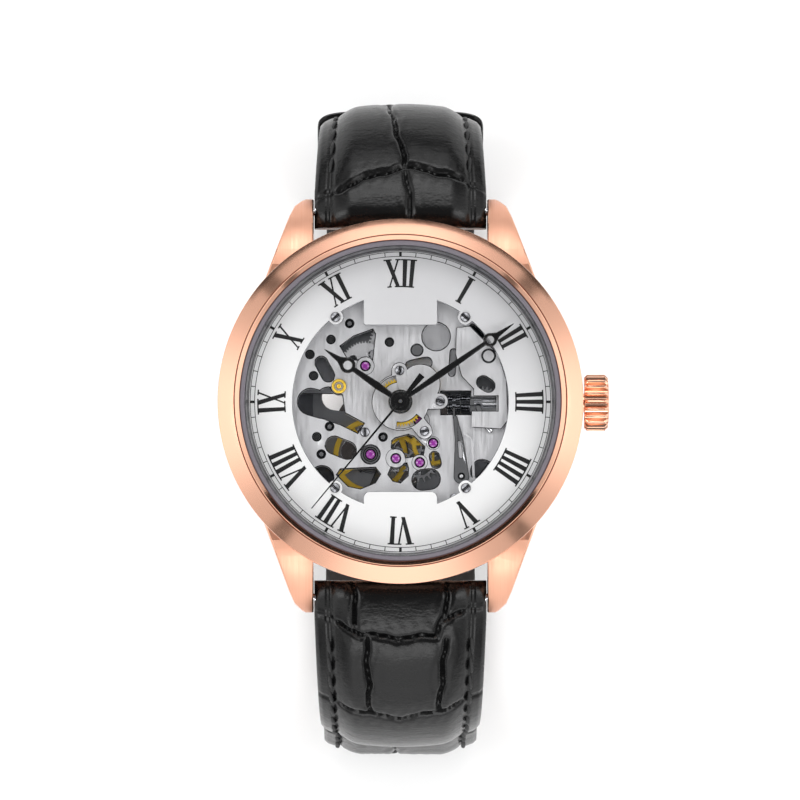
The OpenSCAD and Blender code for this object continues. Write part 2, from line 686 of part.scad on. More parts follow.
module hairspring() color(dark_steel) {
    turns = 9;
    pace = 0.19;
    thick = 0.07;
    at(balance_at) rotate(bearing(balance_at, cock_at)) {
        slab(spring_z, spring_z + 0.12)
            polygon(concat([for (a = [0:15:360 * turns]) (0.4 + pace * a / 360) * [cos(a), sin(a)]],
            [for (a = [360 * turns:-15:0]) (0.4 + thick + pace * a / 360) * [cos(a), sin(a)]]));
        at([0.4 + pace * turns, 0]) disc(0.14, spring_z - air, spring_z + 0.12);
    }
}

// ---- Motion works and hands ----
function hand_angle(turns) = 90 - 360 * turns;
module cannon_pinion() color(steel) difference() {
    union() {
        leaves(cannon_leaves, pitch(norm(minute_at), cannon_leaves, minute_teeth), minute_z,
            minute_z + wheel_t);
        disc(0.6, minute_z, minute_hand_z + hand_t);
    }
    disc(0.36 + run, 0, 12);
}
module minute_wheel() color(brass) at(minute_at) difference() {
    union() {
        wheel(minute_teeth, pitch(norm(minute_at), minute_teeth, cannon_leaves), minute_z, wheel_t, 3, 0.8,
            minute_phase);
        leaves(minute_leaves, pitch(norm(minute_at), minute_leaves, hour_teeth), minute_z + wheel_t - 0.01,
            hour_z + 0.12);
    }
    disc(pivot_r + run, 0, 12, $fn = 32);
}
module hour_wheel() color(brass) difference() {
    union() {
        wheel(hour_teeth, pitch(norm(minute_at), hour_teeth, minute_leaves), hour_z, 0.13, 4, 1.3,
            hour_phase);
        disc(0.9, hour_z, hour_hand_z + hand_t);
    }
    disc(0.6 + run, 0, 12);
}
// Leaf hand with a ring: half width w0 at the hub, w1 before the ring, and a point beyond it
module ring_hand(length, ring_at, r_out, r_in, w0, w1, hub, bore) {
    difference() {
        union() {
            circle(hub);
            polygon([[0, -w0 * 0.5], [ring_at * 0.45, -w0], [ring_at - r_out * 0.8, -w1],
                [ring_at - r_out * 0.8, w1],
                [ring_at * 0.45, w0], [0, w0 * 0.5]]);
            translate([ring_at, 0]) circle(r_out);
            polygon([[ring_at + r_out * 0.45, -r_out * 0.85], [ring_at + r_out * 1.35, -r_out * 0.38],
                [length, -0.05],
                [length, 0.05], [ring_at + r_out * 1.35, r_out * 0.38],
                    [ring_at + r_out * 0.45, r_out * 0.85]]);
        }
        translate([ring_at, 0]) circle(r_in);
        circle(bore);
    }
}
module hour_hand() color(black) slab(hour_hand_z, hour_hand_z + hand_t)
    rotate(hand_angle((shown_hour + shown_minute / 60) / 12))
    ring_hand(hour_len, hour_len - 3.25, 0.92, 0.5, 0.44, 0.28, 1.4, 0.9 + seat);
module minute_hand() color(black) slab(minute_hand_z, minute_hand_z + hand_t)
    rotate(hand_angle(shown_minute / 60))
    ring_hand(minute_len, minute_len - 3.3, 0.8, 0.43, 0.4, 0.24, 1.2, 0.6 + seat);
module seconds_hand() color(black) rotate(hand_angle(shown_second / 60)) difference() {
    union() {
        slab(seconds_hand_z, seconds_hand_z + 0.12)
            polygon([[-3.9, -0.38], [-3.9, 0.38], [0, 0.14], [seconds_len, 0.06], [seconds_len, -0.06],
                [0, -0.14]]);
        disc(0.75, seconds_hand_z - 0.02, seconds_hand_z + 0.16);
    }
    disc(pivot_r + seat, 0, 12, $fn = 32);
}
module seconds_pinion() color(steel) {
    leaves(third_leaves, pitch(train_gap, third_leaves, third_teeth), third_z - 0.03,
        third_z + wheel_t + 0.03,
        sweep_phase);
    disc(pivot_r, bridge_z + 0.15, seconds_hand_z + 0.2, $fn = 32);
}

// ---- Winding and setting ----
module winding_pinion() color(dark_steel) along_x(6.95) difference() {
    linear_extrude(1.05) polygon(teeth(16, 1.04));
    translate([0, 0, -1]) cylinder(r = 0.36, h = 4, $fn = 32);
}
module sliding_pinion() color(dark_steel) along_x(5.45) difference() {
    union() {
        linear_extrude(0.48) polygon(teeth(16, 1.04));
        cylinder(r = 0.75, h = 1.4);
        translate([0, 0, 0.95]) linear_extrude(0.45) polygon(teeth(20, 1.05));
    }
    translate([-0.26, -0.26, -1]) cube([0.52, 0.52, 4]);
}
module stem() color(steel) {
    along_x(5.6) translate([-0.23, -0.23, 0]) cube([0.46, 0.46, 2.9]);
    along_x(8.5) cylinder(r = 0.22, h = 1, $fn = 32);
    along_x(9.4) cylinder(r = 0.4, h = 5);
    along_x(14.3) cylinder(r = stem_r, h = bezel_r + 1.3 - 14.3);
}
module crown() color(rose_gold) along_x(bezel_r + 0.1) {
    half = crown_len;
    difference() {
        intersection() {
            linear_extrude(half) polygon(teeth(crown_flutes, crown_r - 0.25));
            rotate_extrude($fn = 96)
                polygon([[0, 0], [crown_r - 0.35, 0], [crown_r, 0.35], [crown_r, half - 0.4],
                [crown_r - 0.4, half], [0, half]]);
        }
        translate([0, 0, -1]) cylinder(r = stem_r + 0.6, h = 2.2);
        translate([0, 0, half - 0.15]) ring(crown_r - 0.6, crown_r - 0.85, 0, 1);
    }
    translate([0, 0, half]) intersection() {
        cylinder(r = crown_r - 0.85, h = 0.2);
        translate([0, 0, 0.2 - 20]) sphere(r = 20, $fn = 128);
    }
}
module setting_lever() color(steel) {
    reach = norm([0.6, 1.55]);
    at(lever_at) difference() {
        union() {
            slab(plate_top + 0.05, plate_top + 0.3) {
                circle(0.75);
                rotate(atan2(1.55, -0.6)) hull() {
                    circle(0.5);
                    translate([reach, 0]) circle(0.3);
                }
                rotate(-55) hull() {
                    circle(0.45);
                    translate([1.3, 0]) circle(0.3);
                }
            }
            rotate(atan2(1.55, -0.6)) translate([reach, 0, 0])
                disc(0.2, stem_z + 0.05, plate_top + 0.1, $fn = 32);
        }
        disc(0.3 + run, 0, 12);
    }
}
module yoke() color(steel) difference() {
    slab(plate_top + 0.05, plate_top + 0.3) {
        hull() {
            translate(yoke_at) circle(0.9);
            translate([6.75, -4.4]) circle(0.5);
        }
        hull() {
            translate([6.75, -4.4]) circle(0.5);
            translate([6.3, -1.75]) circle(0.25);
        }
        translate([6.02, -1.8]) square([0.26, 1.25]);
    }
    at(yoke_at) disc(0.3 + run, 0, 12);
    slab(plate_top, plate_top + 1) hull() {
        translate([6.95, -6.2]) circle(0.22);
        translate([6.78, -4.6]) circle(0.18);
    }
}
module crown_wheel() color(steel) at(crown_wheel_at) {
    leaves(crown_teeth, pitch(crown_gap, crown_teeth, winding_teeth), winding_z, winding_z + winding_t,
        crown_phase);
    disc(0.6, winding_z, stem_z - 1.9);
    leaves(24, 1.85, stem_z - 1.9, stem_z - 1.3);
}
module winding_wheel() color(steel) at(winding_at) {
    leaves(winding_teeth, pitch(winding_gap, winding_teeth, ratchet_teeth), winding_z, winding_z + winding_t,
        winding_phase);
    disc(0.5, winding_z, bridge_top + 0.05);
}
module ratchet_wheel() color(steel) at(barrel_at) {
    leaves(ratchet_teeth, pitch(winding_gap, ratchet_teeth, winding_teeth), winding_z, winding_z + winding_t);
    disc(0.6, winding_z, plate_top - 0.1);
}
module reversing_wheel() color(silver) at(reverse_at) {
    leaves(reverse_teeth, pitch(norm(reverse_at), reverse_teeth, rotor_teeth), winding_z,
        winding_z + winding_t,
        reverse_phase);
    disc(0.3, winding_z, plate_top - 0.65);
    difference() {
        leaves(52, 2.85, centre_z, centre_z + wheel_t);
        for (i = [0:3]) rotate(90 * i + 60) translate([1.65, 0, 0]) disc(0.5, 0, 12);
    }
    disc(pivot_r, plate_top - 0.7, plate_top - 0.15, $fn = 32);
}
module sector(r, span) {
    intersection() {
        circle(r, $fn = 180);
        rotate(rotor_turn) polygon([[0, 0], 2 * r * [cos(-span), sin(-span)], 2 * r * [1, -0.6],
            2 * r * [1, 0.6],
            2 * r * [cos(span), sin(span)]]);
    }
}
module rotor() color(steel) difference() {
    union() {
        slab(rotor_z, rotor_z + rotor_t) difference() {
            union() {
                sector(rotor_r, 88);
                circle(2.6);
            }
            for (a = [-52, 0, 52]) rotate(rotor_turn + a) bean([5.4, 0], [7.6, 0], 1.5);
        }
        disc(2.2, rotor_z, winding_z + 0.05);
        leaves(rotor_teeth, pitch(norm(reverse_at), rotor_teeth, reverse_teeth), winding_z,
            winding_z + winding_t);
    }
    disc(1.5 + run, 0, 12);
}
module rotor_weight() color(dark_steel) slab(rotor_z + rotor_t, rotor_z + weight_t) difference() {
    sector(rotor_r, 86);
    circle(rotor_r - 2.2, $fn = 128);
}
module rotor_bearing() color(steel) {
    disc(1.5, rotor_z - 0.05, bridge_z);
    difference() {
        disc(2, rotor_z - 0.16, rotor_z - 0.05);
        translate([-2, -0.15, rotor_z - 1]) cube([4, 0.3, 0.89]);
    }
}

// ---- Strap and buckle ----
// A route is a list of [length, turn]; a place on it is [y, z, heading]
function step(p, s, turn) = turn == 0 ? [p[0] + s * cos(p[2]), p[1] + s * sin(p[2]), p[2]] :
    let (r = s * 180 / PI / turn)
    [p[0] + r * (sin(p[2] + turn) - sin(p[2])), p[1] - r * (cos(p[2] + turn) - cos(p[2])), p[2] + turn];
function along(route, p, s, k = 0) =
    s <= route[k][0] || k == len(route) - 1 ? step(p, s, route[k][1] * s / route[k][0]) :
    along(route, step(p, route[k][0], route[k][1]), s - route[k][0], k + 1);
first_heading = -12;
side_heading = -88;
function route(bend, length) =
    let (a = bend * (first_heading - side_heading) * PI / 180,
        drop = bend * (cos(side_heading) - cos(first_heading)),
        low = low_bend * (180 + side_heading) * PI / 180,
        side = (loop_depth + bar_z + drop - low_bend * (1 + cos(side_heading))) / -sin(side_heading))
    [[a, side_heading - first_heading], [side, 0], [low, -180 - side_heading], [length - a - side - low, 0]];
upper_route = route(upper_bend, upper_len);
lower_route = route(lower_bend, tail_len);
start = [bar_y, bar_z, first_heading];
end_t = strap_mid_t - 0.6;
// Distance past the buckle's bar at which the strap's end is cut
end_trim = 1.2;
// Leather below the line that the strap's route follows
under = 1;
// Radii of the strap's two turned ends
buckle_end_r = 1.4;
tail_end_r = 0.6;
// Holes in the tail: radius, distance from one to the next, and of the last from the tail's end
hole_r = 0.9;
hole_pitch = 6.5;
hole_end = 22;
// Keeper loops: wall, inner height, and the place of each on the strap
keeper_wall = 1;
keeper_high = 5.4;
fixed_s = upper_len - 13;
free_s = 42;
// Buckle: bar radius, side wall, and reach of the frame's end bar and of the tongue from the bar
buckle_bar_r = 0.6;
buckle_wall = 1.5;
frame_reach = 10.6;
tongue_reach = 11.6;
tongue_w = 1.7;
function ramp(s, a, b) = max(0, min(1, (s - a) / (b - a)));
function mix(a, b, t) = a + (b - a) * t;
// Outline of the strap across its length: half width, lining, edge and crown heights
function section(w, low, edge, top) =
    [[-w, 0.3 - low], [0.3 - w, -low], [w - 0.3, -low], [w, 0.3 - low], [w, edge - 0.4], [w - 0.4, edge],
    [w - 2.1, edge + 0.1], [w - 3.6, top - 0.15], [w - 5.6, top], [5.6 - w, top], [3.6 - w, top - 0.15],
    [2.1 - w, edge + 0.1], [0.4 - w, edge], [-w, edge - 0.4]];
function strap_section(s, bend_len, total, end_r, tip) =
    let (nose = s < 0 ? sqrt(max(0.05, 1 - pow(2 * s / strap_t, 2))) : 1,
        over = s - total,
        tail = over > 0 ? sqrt(max(0.08, 1 - pow(over / end_r, 2))) : 1,
        near = ramp(s, 0, 8),
        low = mix(strap_t / 2, under, near) * nose * tail,
        top = mix(mix(strap_t / 2, strap_mid_t - under, near), end_t - under,
            ramp(s, total - 20, total - 6)) * nose * tail,
        w = mix(mix(strap_w, strap_end_w + 0.7, ramp(s, 2, bend_len)), strap_end_w,
            ramp(s, bend_len, total)) / 2,
        point = tip * max(0, 1 - sqrt(max(0, 1 - pow(ramp(s, total - 9, total), 2)))))
    section(w - point * w * 0.55, low,
        max(-low + 0.75, min(top - 0.05, strap_edge_t - under) * nose * tail), top);
// Strap half: rings of the section swept along its route
module strap_half(route, total, end_r, tip) {
    stops = concat([for (a = [0:22:88]) -strap_t / 2 * cos(a)], [for (s = [0:2.5:total - 2.5]) s],
        [for (a = [0:22:88]) total + end_r * sin(a)]);
    rings = [for (s = stops) let (p = s < 0 ? step(start, s, 0) : along(route, start, s))
        [for (q = strap_section(s, route[0][0], total, end_r, tip))
        [q[0], p[0] - q[1] * sin(p[2]), p[1] + q[1] * cos(p[2])]]];
    n = len(rings[0]);
    last = len(rings) - 1;
    polyhedron([for (r = rings, v = r) v],
        concat([[for (i = [0:n - 1]) i]], [[for (i = [0:n - 1]) last * n + n - 1 - i]],
        [for (k = [0:last - 1], i = [0:n - 1]) let (j = (i + 1) % n)
        [k * n + i, (k + 1) * n + i, (k + 1) * n + j]],
        [for (k = [0:last - 1], i = [0:n - 1]) let (j = (i + 1) % n)
        [k * n + i, (k + 1) * n + j, k * n + j]]));
}
module bar_bore(p, r) translate([-lug_gap, p[0], p[1]]) rotate([0, 90, 0])
    cylinder(r = r, h = 2 * lug_gap);
buckle_at = along(upper_route, start, upper_len);
module strap_upper() color(leather) difference() {
    strap_half(upper_route, upper_len, buckle_end_r, 0);
    bar_bore(start, bar_r + run);
    bar_bore(buckle_at, buckle_bar_r + seat);
    translate([-1.2, buckle_at[0] - 3, buckle_at[1] - 3]) cube([2.4, 7.4, 6]);
    translate([-lug_gap, buckle_at[0] - end_trim - 5, buckle_at[1] - 5]) cube([2 * lug_gap, 5, 10]);
}
module strap_lower() color(leather) difference() {
    mirror([0, 1, 0]) strap_half(lower_route, tail_len, tail_end_r, 1);
    bar_bore([-start[0], start[1]], bar_r + run);
    for (i = [0:tail_holes - 1]) let (p = along(lower_route, start, tail_len - hole_end - hole_pitch * i))
        translate([0, -p[0], p[1]]) rotate([-p[2], 0, 0])
        cylinder(r = hole_r, h = 3 * strap_mid_t, center = true);
}
// A keeper loop round the strap at a length s from the spring bar
module keeper(s, w, low, wide) {
    p = along(upper_route, start, s);
    translate([0, p[0], p[1]]) rotate([p[2], 0, 0]) translate([0, wide / 2, 0]) rotate([90, 0, 0])
        linear_extrude(wide) difference() {
        translate([-w / 2 - keeper_wall, -low - keeper_wall]) offset(0.6) offset(-0.6)
            square([w + 2 * keeper_wall, keeper_high + 2 * keeper_wall]);
        translate([-w / 2, -low]) square([w, keeper_high]);
    }
}
module fixed_keeper() color(leather) keeper(fixed_s, strap_end_w + 0.9, 1.45, 6);
module free_keeper() color(leather) keeper(free_s, strap_end_w + 1.1, 1.2, 5);
module buckle_bar() color(rose_gold) translate([0, buckle_at[0], buckle_at[1]]) rotate([0, 90, 0])
    cylinder(r = buckle_bar_r, h = strap_end_w + 2 * buckle_wall, center = true);
module buckle_frame() color(rose_gold) translate([0, buckle_at[0], buckle_at[1]]) difference() {
    inner = strap_end_w / 2 + 0.35;
    union() {
        for (side = [-1, 1]) {
            translate([side * (inner + buckle_wall / 2), 0, 0]) rotate([0, 90, 0])
                cylinder(r = 1.1, h = buckle_wall, center = true);
            translate([side * (inner + buckle_wall / 2), 0.1 - frame_reach / 2, 0])
                cube([buckle_wall, frame_reach - 0.2, buckle_wall], center = true);
        }
        translate([0, -frame_reach, 0]) cube([2 * (inner + buckle_wall), 1.6, 1.2], center = true);
    }
    rotate([0, 90, 0]) cylinder(r = buckle_bar_r + run, h = 3 * lug_gap, center = true);
}
module buckle_tongue() color(rose_gold) translate([0, buckle_at[0], buckle_at[1]]) difference() {
    union() {
        rotate([0, 90, 0]) cylinder(r = 1.05, h = tongue_w, center = true);
        translate([-tongue_w / 2, 0, 0]) rotate([90, 0, 90]) linear_extrude(tongue_w)
            polygon([[0, -1.05], [-6, -1.35], [-tongue_reach, -1.32], [-tongue_reach, -0.68], [-6, -0.68],
            [-0.5, 0.3]]);
    }
    rotate([0, 90, 0]) cylinder(r = buckle_bar_r + run, h = 3 * lug_gap, center = true);
}

middle_case();
bezel();
crystal();
crystal_gasket();
rehaut();
case_back();
back_crystal();
back_gasket();
movement_ring();
dial();
dial_screws();
crown_tube();
spring_bars();
main_plate();
train_bridge();
barrel_bridge();
balance_cock();
pallet_cock();
jewels();
balance_jewel();
plate_screws();
motion_cover();
keyless_cover();
yoke_spring();
winding_bush();
barrel();
centre_wheel();
third_wheel();
fourth_wheel();
escape_wheel();
pallet_fork();
balance_wheel();
hairspring();
seconds_pinion();
seconds_hand();
cannon_pinion();
minute_hand();
minute_wheel();
hour_wheel();
hour_hand();
winding_pinion();
sliding_pinion();
crown();
stem();
setting_lever();
yoke();
crown_wheel();
winding_wheel();
ratchet_wheel();
reversing_wheel();
rotor();
rotor_weight();
rotor_bearing();
strap_upper();
strap_lower();
fixed_keeper();
free_keeper();
buckle_frame();
buckle_bar();
buckle_tongue();
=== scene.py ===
import bpy
import bmesh
import json
import math
import random
import numpy as np
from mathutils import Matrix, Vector
from mathutils.bvhtree import BVHTree


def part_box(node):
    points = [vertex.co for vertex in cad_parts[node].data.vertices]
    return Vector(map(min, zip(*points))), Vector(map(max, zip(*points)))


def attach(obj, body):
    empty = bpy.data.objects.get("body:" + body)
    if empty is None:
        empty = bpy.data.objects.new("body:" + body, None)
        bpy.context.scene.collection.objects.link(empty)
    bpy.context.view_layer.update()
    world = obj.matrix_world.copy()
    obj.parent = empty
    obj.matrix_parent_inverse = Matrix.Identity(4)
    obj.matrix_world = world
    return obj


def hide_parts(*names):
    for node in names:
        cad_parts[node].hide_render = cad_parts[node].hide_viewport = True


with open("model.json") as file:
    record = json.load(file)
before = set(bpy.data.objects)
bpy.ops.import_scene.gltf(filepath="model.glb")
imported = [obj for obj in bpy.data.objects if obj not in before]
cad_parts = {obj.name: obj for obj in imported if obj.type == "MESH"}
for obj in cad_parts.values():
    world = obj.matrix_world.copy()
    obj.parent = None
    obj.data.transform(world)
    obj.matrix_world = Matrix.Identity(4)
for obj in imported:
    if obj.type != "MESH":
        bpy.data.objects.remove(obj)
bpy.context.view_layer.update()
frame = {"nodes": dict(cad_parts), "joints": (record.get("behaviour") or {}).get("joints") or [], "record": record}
nodes = frame["nodes"]
bodyOf = {node: body for body, group in frame["record"]["behaviour"]["bodies"].items() for node in group}
jointAt = {j["name"]: Vector(j["pos_m"]) for j in frame["joints"] if "pos_m" in j}
mm = 0.001
print("frame loaded:", len(nodes), "nodes")

# places in the photograph, in its pixels
imagePoints = {
    "bezelLeft": (217.2, None),
    "bezelRight": (583.8, None),
    "bezelTop": (None, 217.6),
    "bezelBottom": (None, 583.6),
    "crownRight": (607.7, None),
    "strapTop": (None, 103.5),
    "strapBottom": (None, 757),
    "handAxis": (400.4, 400.6),
    "numeralTwelve": (400.3, 273),
    "minuteTrackTop": (400.4, 254.5),
    "hourRing": (348.4, 362.2),
    "minuteRing": (489.5, 338.3),
    "stitchUpperLeft": (331.5, 150),
    "stitchLowerLeft": (330.5, 690),
    "balanceJewel": (370.5, 452),
    "creaseUpperPeak": (405, 164),
    "creaseLowerLeft": (361, 637),
    "creaseLowerBase": (370, 716),
}

# camera, long lens above the dial and a little to the 6 side
cameraSpec = {"lens": 628, "distance": 1.6, "tilt": 3.6, "aim": (-0.00005, 0.00007, 0.0102)}
imageSize = 800


def addObject(name, data):
    thing = bpy.data.objects.new(name, data)
    bpy.context.scene.collection.objects.link(thing)
    return thing


def makeCamera(spec):
    data = bpy.data.cameras.new("camera")
    data.lens = spec["lens"]
    data.sensor_fit = "AUTO"
    data.clip_end = 20
    camera = addObject("camera", data)
    tilt = math.radians(spec["tilt"])
    camera.location = Vector(spec["aim"]) + spec["distance"] * Vector((0, -math.sin(tilt), math.cos(tilt)))
    camera.rotation_euler = (tilt, 0, 0)
    bpy.context.scene.camera = camera
    bpy.context.view_layer.update()
    return camera


camera = makeCamera(cameraSpec)


def toPixels(point):
    seen = camera.matrix_world.inverted() @ Vector(point)
    reach = imageSize * camera.data.lens / camera.data.sensor_width / -seen.z
    return imageSize / 2 + seen.x * reach, imageSize / 2 - seen.y * reach


def rayThrough(x, y):
    reach = imageSize * camera.data.lens / camera.data.sensor_width
    way = Vector((x - imageSize / 2, imageSize / 2 - y, -reach)).normalized()
    turn = camera.matrix_world.to_3x3()
    return camera.matrix_world.translation.copy(), (turn @ way).normalized()


def surfaceTree(piece):
    mesh = piece.data
    corners = [v.co.copy() for v in mesh.vertices]
    return BVHTree.FromPolygons(corners, [list(p.vertices) for p in mesh.polygons])


missSteps = range(-20, 60, 4)  # mm along the ray, from the distance that the camera aims at


# where a thing at an image point lies on what carries it; a miss takes the place nearest the ray
def placeAt(name, tree):
    start, way = rayThrough(*imagePoints[name])
    hit = tree.ray_cast(start, way)[0]
    if hit is None:
        near = [tree.find_nearest(start + way * (cameraSpec["distance"] + step * mm)) for step in missSteps]
        hit = min(near, key=lambda found: found[3])[0]
    return hit


def toLinear(hexText):
    parts = [int(hexText[i:i + 2], 16) / 255 for i in (1, 3, 5)]
    return tuple(p / 12.92 if p <= 0.04045 else ((p + 0.055) / 1.055) ** 2.4 for p in parts) + (1,)


smooth = {"interpolation_type": "SMOOTHSTEP"}
inColour = {"data_type": "RGBA"}


# adds a node with its settings, and sets its inputs or links them to a socket or a node's first output
def addNode(tree, kind, settings, inputs):
    node = tree.nodes.new("ShaderNode" + kind)
    for name, value in settings.items():
        setattr(node, name, value)
    for name, value in inputs.items():
        if isinstance(value, bpy.types.Node):
            value = value.outputs[0]
        if isinstance(value, bpy.types.NodeSocket):
            tree.links.new(value, node.inputs[name])
        else:
            node.inputs[name].default_value = value
    return node


def startMaterial(name):
    material = bpy.data.materials.new(name)
    material.use_nodes = True
    material.node_tree.nodes.clear()
    return material, material.node_tree


def finishMaterial(tree, inputs):
    shader = addNode(tree, "BsdfPrincipled", {}, inputs)
    addNode(tree, "OutputMaterial", {}, {"Surface": shader})
    return shader


# grain in millimetres along x, y and z of the watch
def grainScale(tree, size):
    place = addNode(tree, "TexCoord", {}, {})
    return addNode(tree, "Mapping", {}, {
        "Vector": place.outputs["Object"], "Scale": [1 / (s * mm) for s in size]})


# a machined and then polished or brushed metal: colour, gloss, and the lines that the tool left
def machinedMetal(name, spec):
    material, tree = startMaterial(name)
    spot = grainScale(tree, spec["grain"])
    lines = addNode(tree, "TexNoise", {}, {"Vector": spot, "Scale": 1, "Detail": 3, "Roughness": 0.6})
    wide = grainScale(tree, [spec["cloud"]] * 3)
    cloud = addNode(tree, "TexNoise", {}, {"Vector": wide, "Scale": 1, "Detail": 2})
    tone = addNode(tree, "Mix", inColour, {
        "Factor": cloud, 6: toLinear(spec["colour"]), 7: toLinear(spec["shade"])})
    gloss = addNode(tree, "MapRange", {}, {
        "Value": lines, "From Min": 0.3, "From Max": 0.7,
        "To Min": spec["roughness"] * 0.8, "To Max": spec["roughness"] * 1.25})
    bump = addNode(tree, "Bump", {}, {
        "Strength": spec["lineDepth"], "Distance": 0.02 * mm, "Height": lines})
    finishMaterial(tree, {
        "Base Color": tone.outputs[2], "Metallic": 1, "Roughness": gloss, "Normal": bump})
    return material


metalSpecs = {
    # rose gold plating over polished steel: warm mirror with hairlines
    "polishedRoseGold": {"colour": "#f0bda2", "shade": "#eab397", "roughness": 0.1, "grain": (0.2, 0.2, 1.2),
                         "cloud": 6, "lineDepth": 0.12},
    # the same plating turned on a lathe: rings of fine lines that spread the light round the bezel
    "turnedRoseGold": {"colour": "#f3bda2", "shade": "#f1b79b", "roughness": 0.13, "grain": (2, 2, 2),
                       "cloud": 12, "lineDepth": 0.01},
    # the same plating over a straight brushed face: soft streaks along the lug
    "brushedRoseGold": {"colour": "#e9b297", "shade": "#d8a086", "roughness": 0.42, "grain": (0.12, 6, 6),
                        "cloud": 4, "lineDepth": 0.5},
    # nickel plated brass plate, straight grained: pale grey with fine lines
    "grainedNickel": {"colour": "#eeeef0", "shade": "#cfcfd2", "roughness": 0.5, "grain": (0.14, 3, 3),
                      "cloud": 3, "lineDepth": 0.45},
    # steel bridge, circular satin: darker grey seen through the windows
    "satinSteel": {"colour": "#a5a6aa", "shade": "#8b8c90", "roughness": 0.42, "grain": (0.2, 0.9, 2),
                   "cloud": 2.5, "lineDepth": 0.4},
    # flat ground screw heads, a little darker than the plate
    "screwSteel": {"colour": "#9c9da1", "shade": "#85868a", "roughness": 0.3, "grain": (0.12, 1.2, 1.2),
                   "cloud": 1, "lineDepth": 0.3},
    # hardened and polished screws, staffs and wheels
    "polishedSteel": {"colour": "#dadbde", "shade": "#c3c4c8", "roughness": 0.16, "grain": (0.1, 0.5, 0.5),
                      "cloud": 1.5, "lineDepth": 0.15},
    # polished bevel of a plate, painted dark as a painted reflection of the dark inside of the case; also painted
    # shade round jewels and pins and on a band of the flange
    "paintedShadeBevel": {"colour": "#38383a", "shade": "#232325", "roughness": 0.3, "grain": (0.2, 0.2, 0.2),
                  "cloud": 1, "lineDepth": 0.1},
    # oil blackened steel of the keyless pinions
    "darkSteel": {"colour": "#5b5c60", "shade": "#3e3f43", "roughness": 0.28, "grain": (0.3, 0.1, 0.3),
                  "cloud": 1, "lineDepth": 0.3},
    # gilt brass wheels and balance rim, circular grained
    "giltBrass": {"colour": "#ffdf63", "shade": "#efc347", "roughness": 0.48, "grain": (0.1, 0.6, 0.6),
                  "cloud": 1.2, "lineDepth": 0.3},
    # sintered tungsten of the rotor's rim
    "sinteredTungsten": {"colour": "#6a6b70", "shade": "#55565a", "roughness": 0.5,
                         "grain": (0.06, 0.06, 0.06), "cloud": 0.8, "lineDepth": 0.6},
    # dark satin ring round the dial
    "satinFlange": {"colour": "#8b8a8d", "shade": "#6c6b6f", "roughness": 0.33, "grain": (0.1, 0.1, 1),
                    "cloud": 3, "lineDepth": 0.3},
}
metals = {name: machinedMetal(name, spec) for name, spec in metalSpecs.items()}

# silvered brass dial, brushed straight and lacquered: pale, with painted shade that darkens its colour towards one
# side in place of the brushing's sheen
dialSpec = {"pale": "#f1f1f1", "paintedShadeTone": "#cfcfd1", "lineWidth": 0.1, "lineLength": 12, "paintedShadeSide": (0.35, 0.94)}


def silveredDial(spec):
    material, tree = startMaterial("silveredDial")
    place = addNode(tree, "TexCoord", {}, {})
    across, up, _ = addNode(tree, "SeparateXYZ", {}, {0: place.outputs["Object"]}).outputs
    angle = addNode(tree, "Math", {"operation": "ARCTAN2"}, {0: up, 1: across})
    turned = addNode(tree, "Math", {"operation": "SUBTRACT"}, {
        0: angle, 1: math.atan2(spec["paintedShadeSide"][1], spec["paintedShadeSide"][0])})
    towards = addNode(tree, "Math", {"operation": "COSINE"}, {0: turned})
    # painted shade: the colour turns darker by the angle round the axis, towards the dark side given in the spec
    side = addNode(tree, "MapRange", smooth, {
        "Value": towards, "From Min": -0.2, "From Max": 1})
    spot = grainScale(tree, (spec["lineWidth"], spec["lineLength"], spec["lineLength"]))
    lines = addNode(tree, "TexNoise", {}, {"Vector": spot, "Scale": 1, "Detail": 3})
    tone = addNode(tree, "Mix", inColour, {
        "Factor": side, 6: toLinear(spec["pale"]), 7: toLinear(spec["paintedShadeTone"])})
    gloss = addNode(tree, "MapRange", {}, {"Value": lines, "To Min": 0.34, "To Max": 0.5})
    bump = addNode(tree, "Bump", {}, {"Strength": 0.25, "Distance": 0.02 * mm, "Height": lines})
    finishMaterial(tree, {"Base Color": tone.outputs[2], "Metallic": 0.12, "Roughness": gloss,
                          "Normal": bump})
    return material


# gloss lacquer, ink, thread, ruby and rubber: an even body colour with the surface's own fine texture
coatSpecs = {
    # stoved black lacquer on the hands: deep black, sharp highlights
    "blackLacquer": {"colour": "#060506", "roughness": 0.12, "texture": 0.6, "depth": 0.05, "coat": 0.4},
    # pad printed ink on the dial
    "printedInk": {"colour": "#070607", "roughness": 0.5, "texture": 0.15, "depth": 0.2, "coat": 0},
    # waxed linen thread, twisted
    "waxedThread": {"colour": "#121213", "roughness": 0.55, "texture": 0.16, "depth": 0.9, "coat": 0},
    # polished synthetic ruby
    "syntheticRuby": {"colour": "#96309c", "roughness": 0.06, "texture": 2, "depth": 0.03, "coat": 1},
    # nylon gasket that holds the crystal
    "nylonGasket": {"colour": "#77727a", "roughness": 0.45, "texture": 0.5, "depth": 0.2, "coat": 0},
    # moulded black rubber seal
    "mouldedRubber": {"colour": "#1d1d1f", "roughness": 0.6, "texture": 0.3, "depth": 0.4, "coat": 0},
    # painted shadow, brown, in the bezel's groove and down its inner wall
    "brownShadow": {"colour": "#8a4a30", "roughness": 0.5, "texture": 0.4, "depth": 0.2, "coat": 0},
    # painted shade: the dark bottom of an engraved line or drilled hole, also laid round each bearing's boss
    "paintedShadeLine": {"colour": "#2c2c2e", "roughness": 0.6, "texture": 0.2, "depth": 0.3, "coat": 0},
}


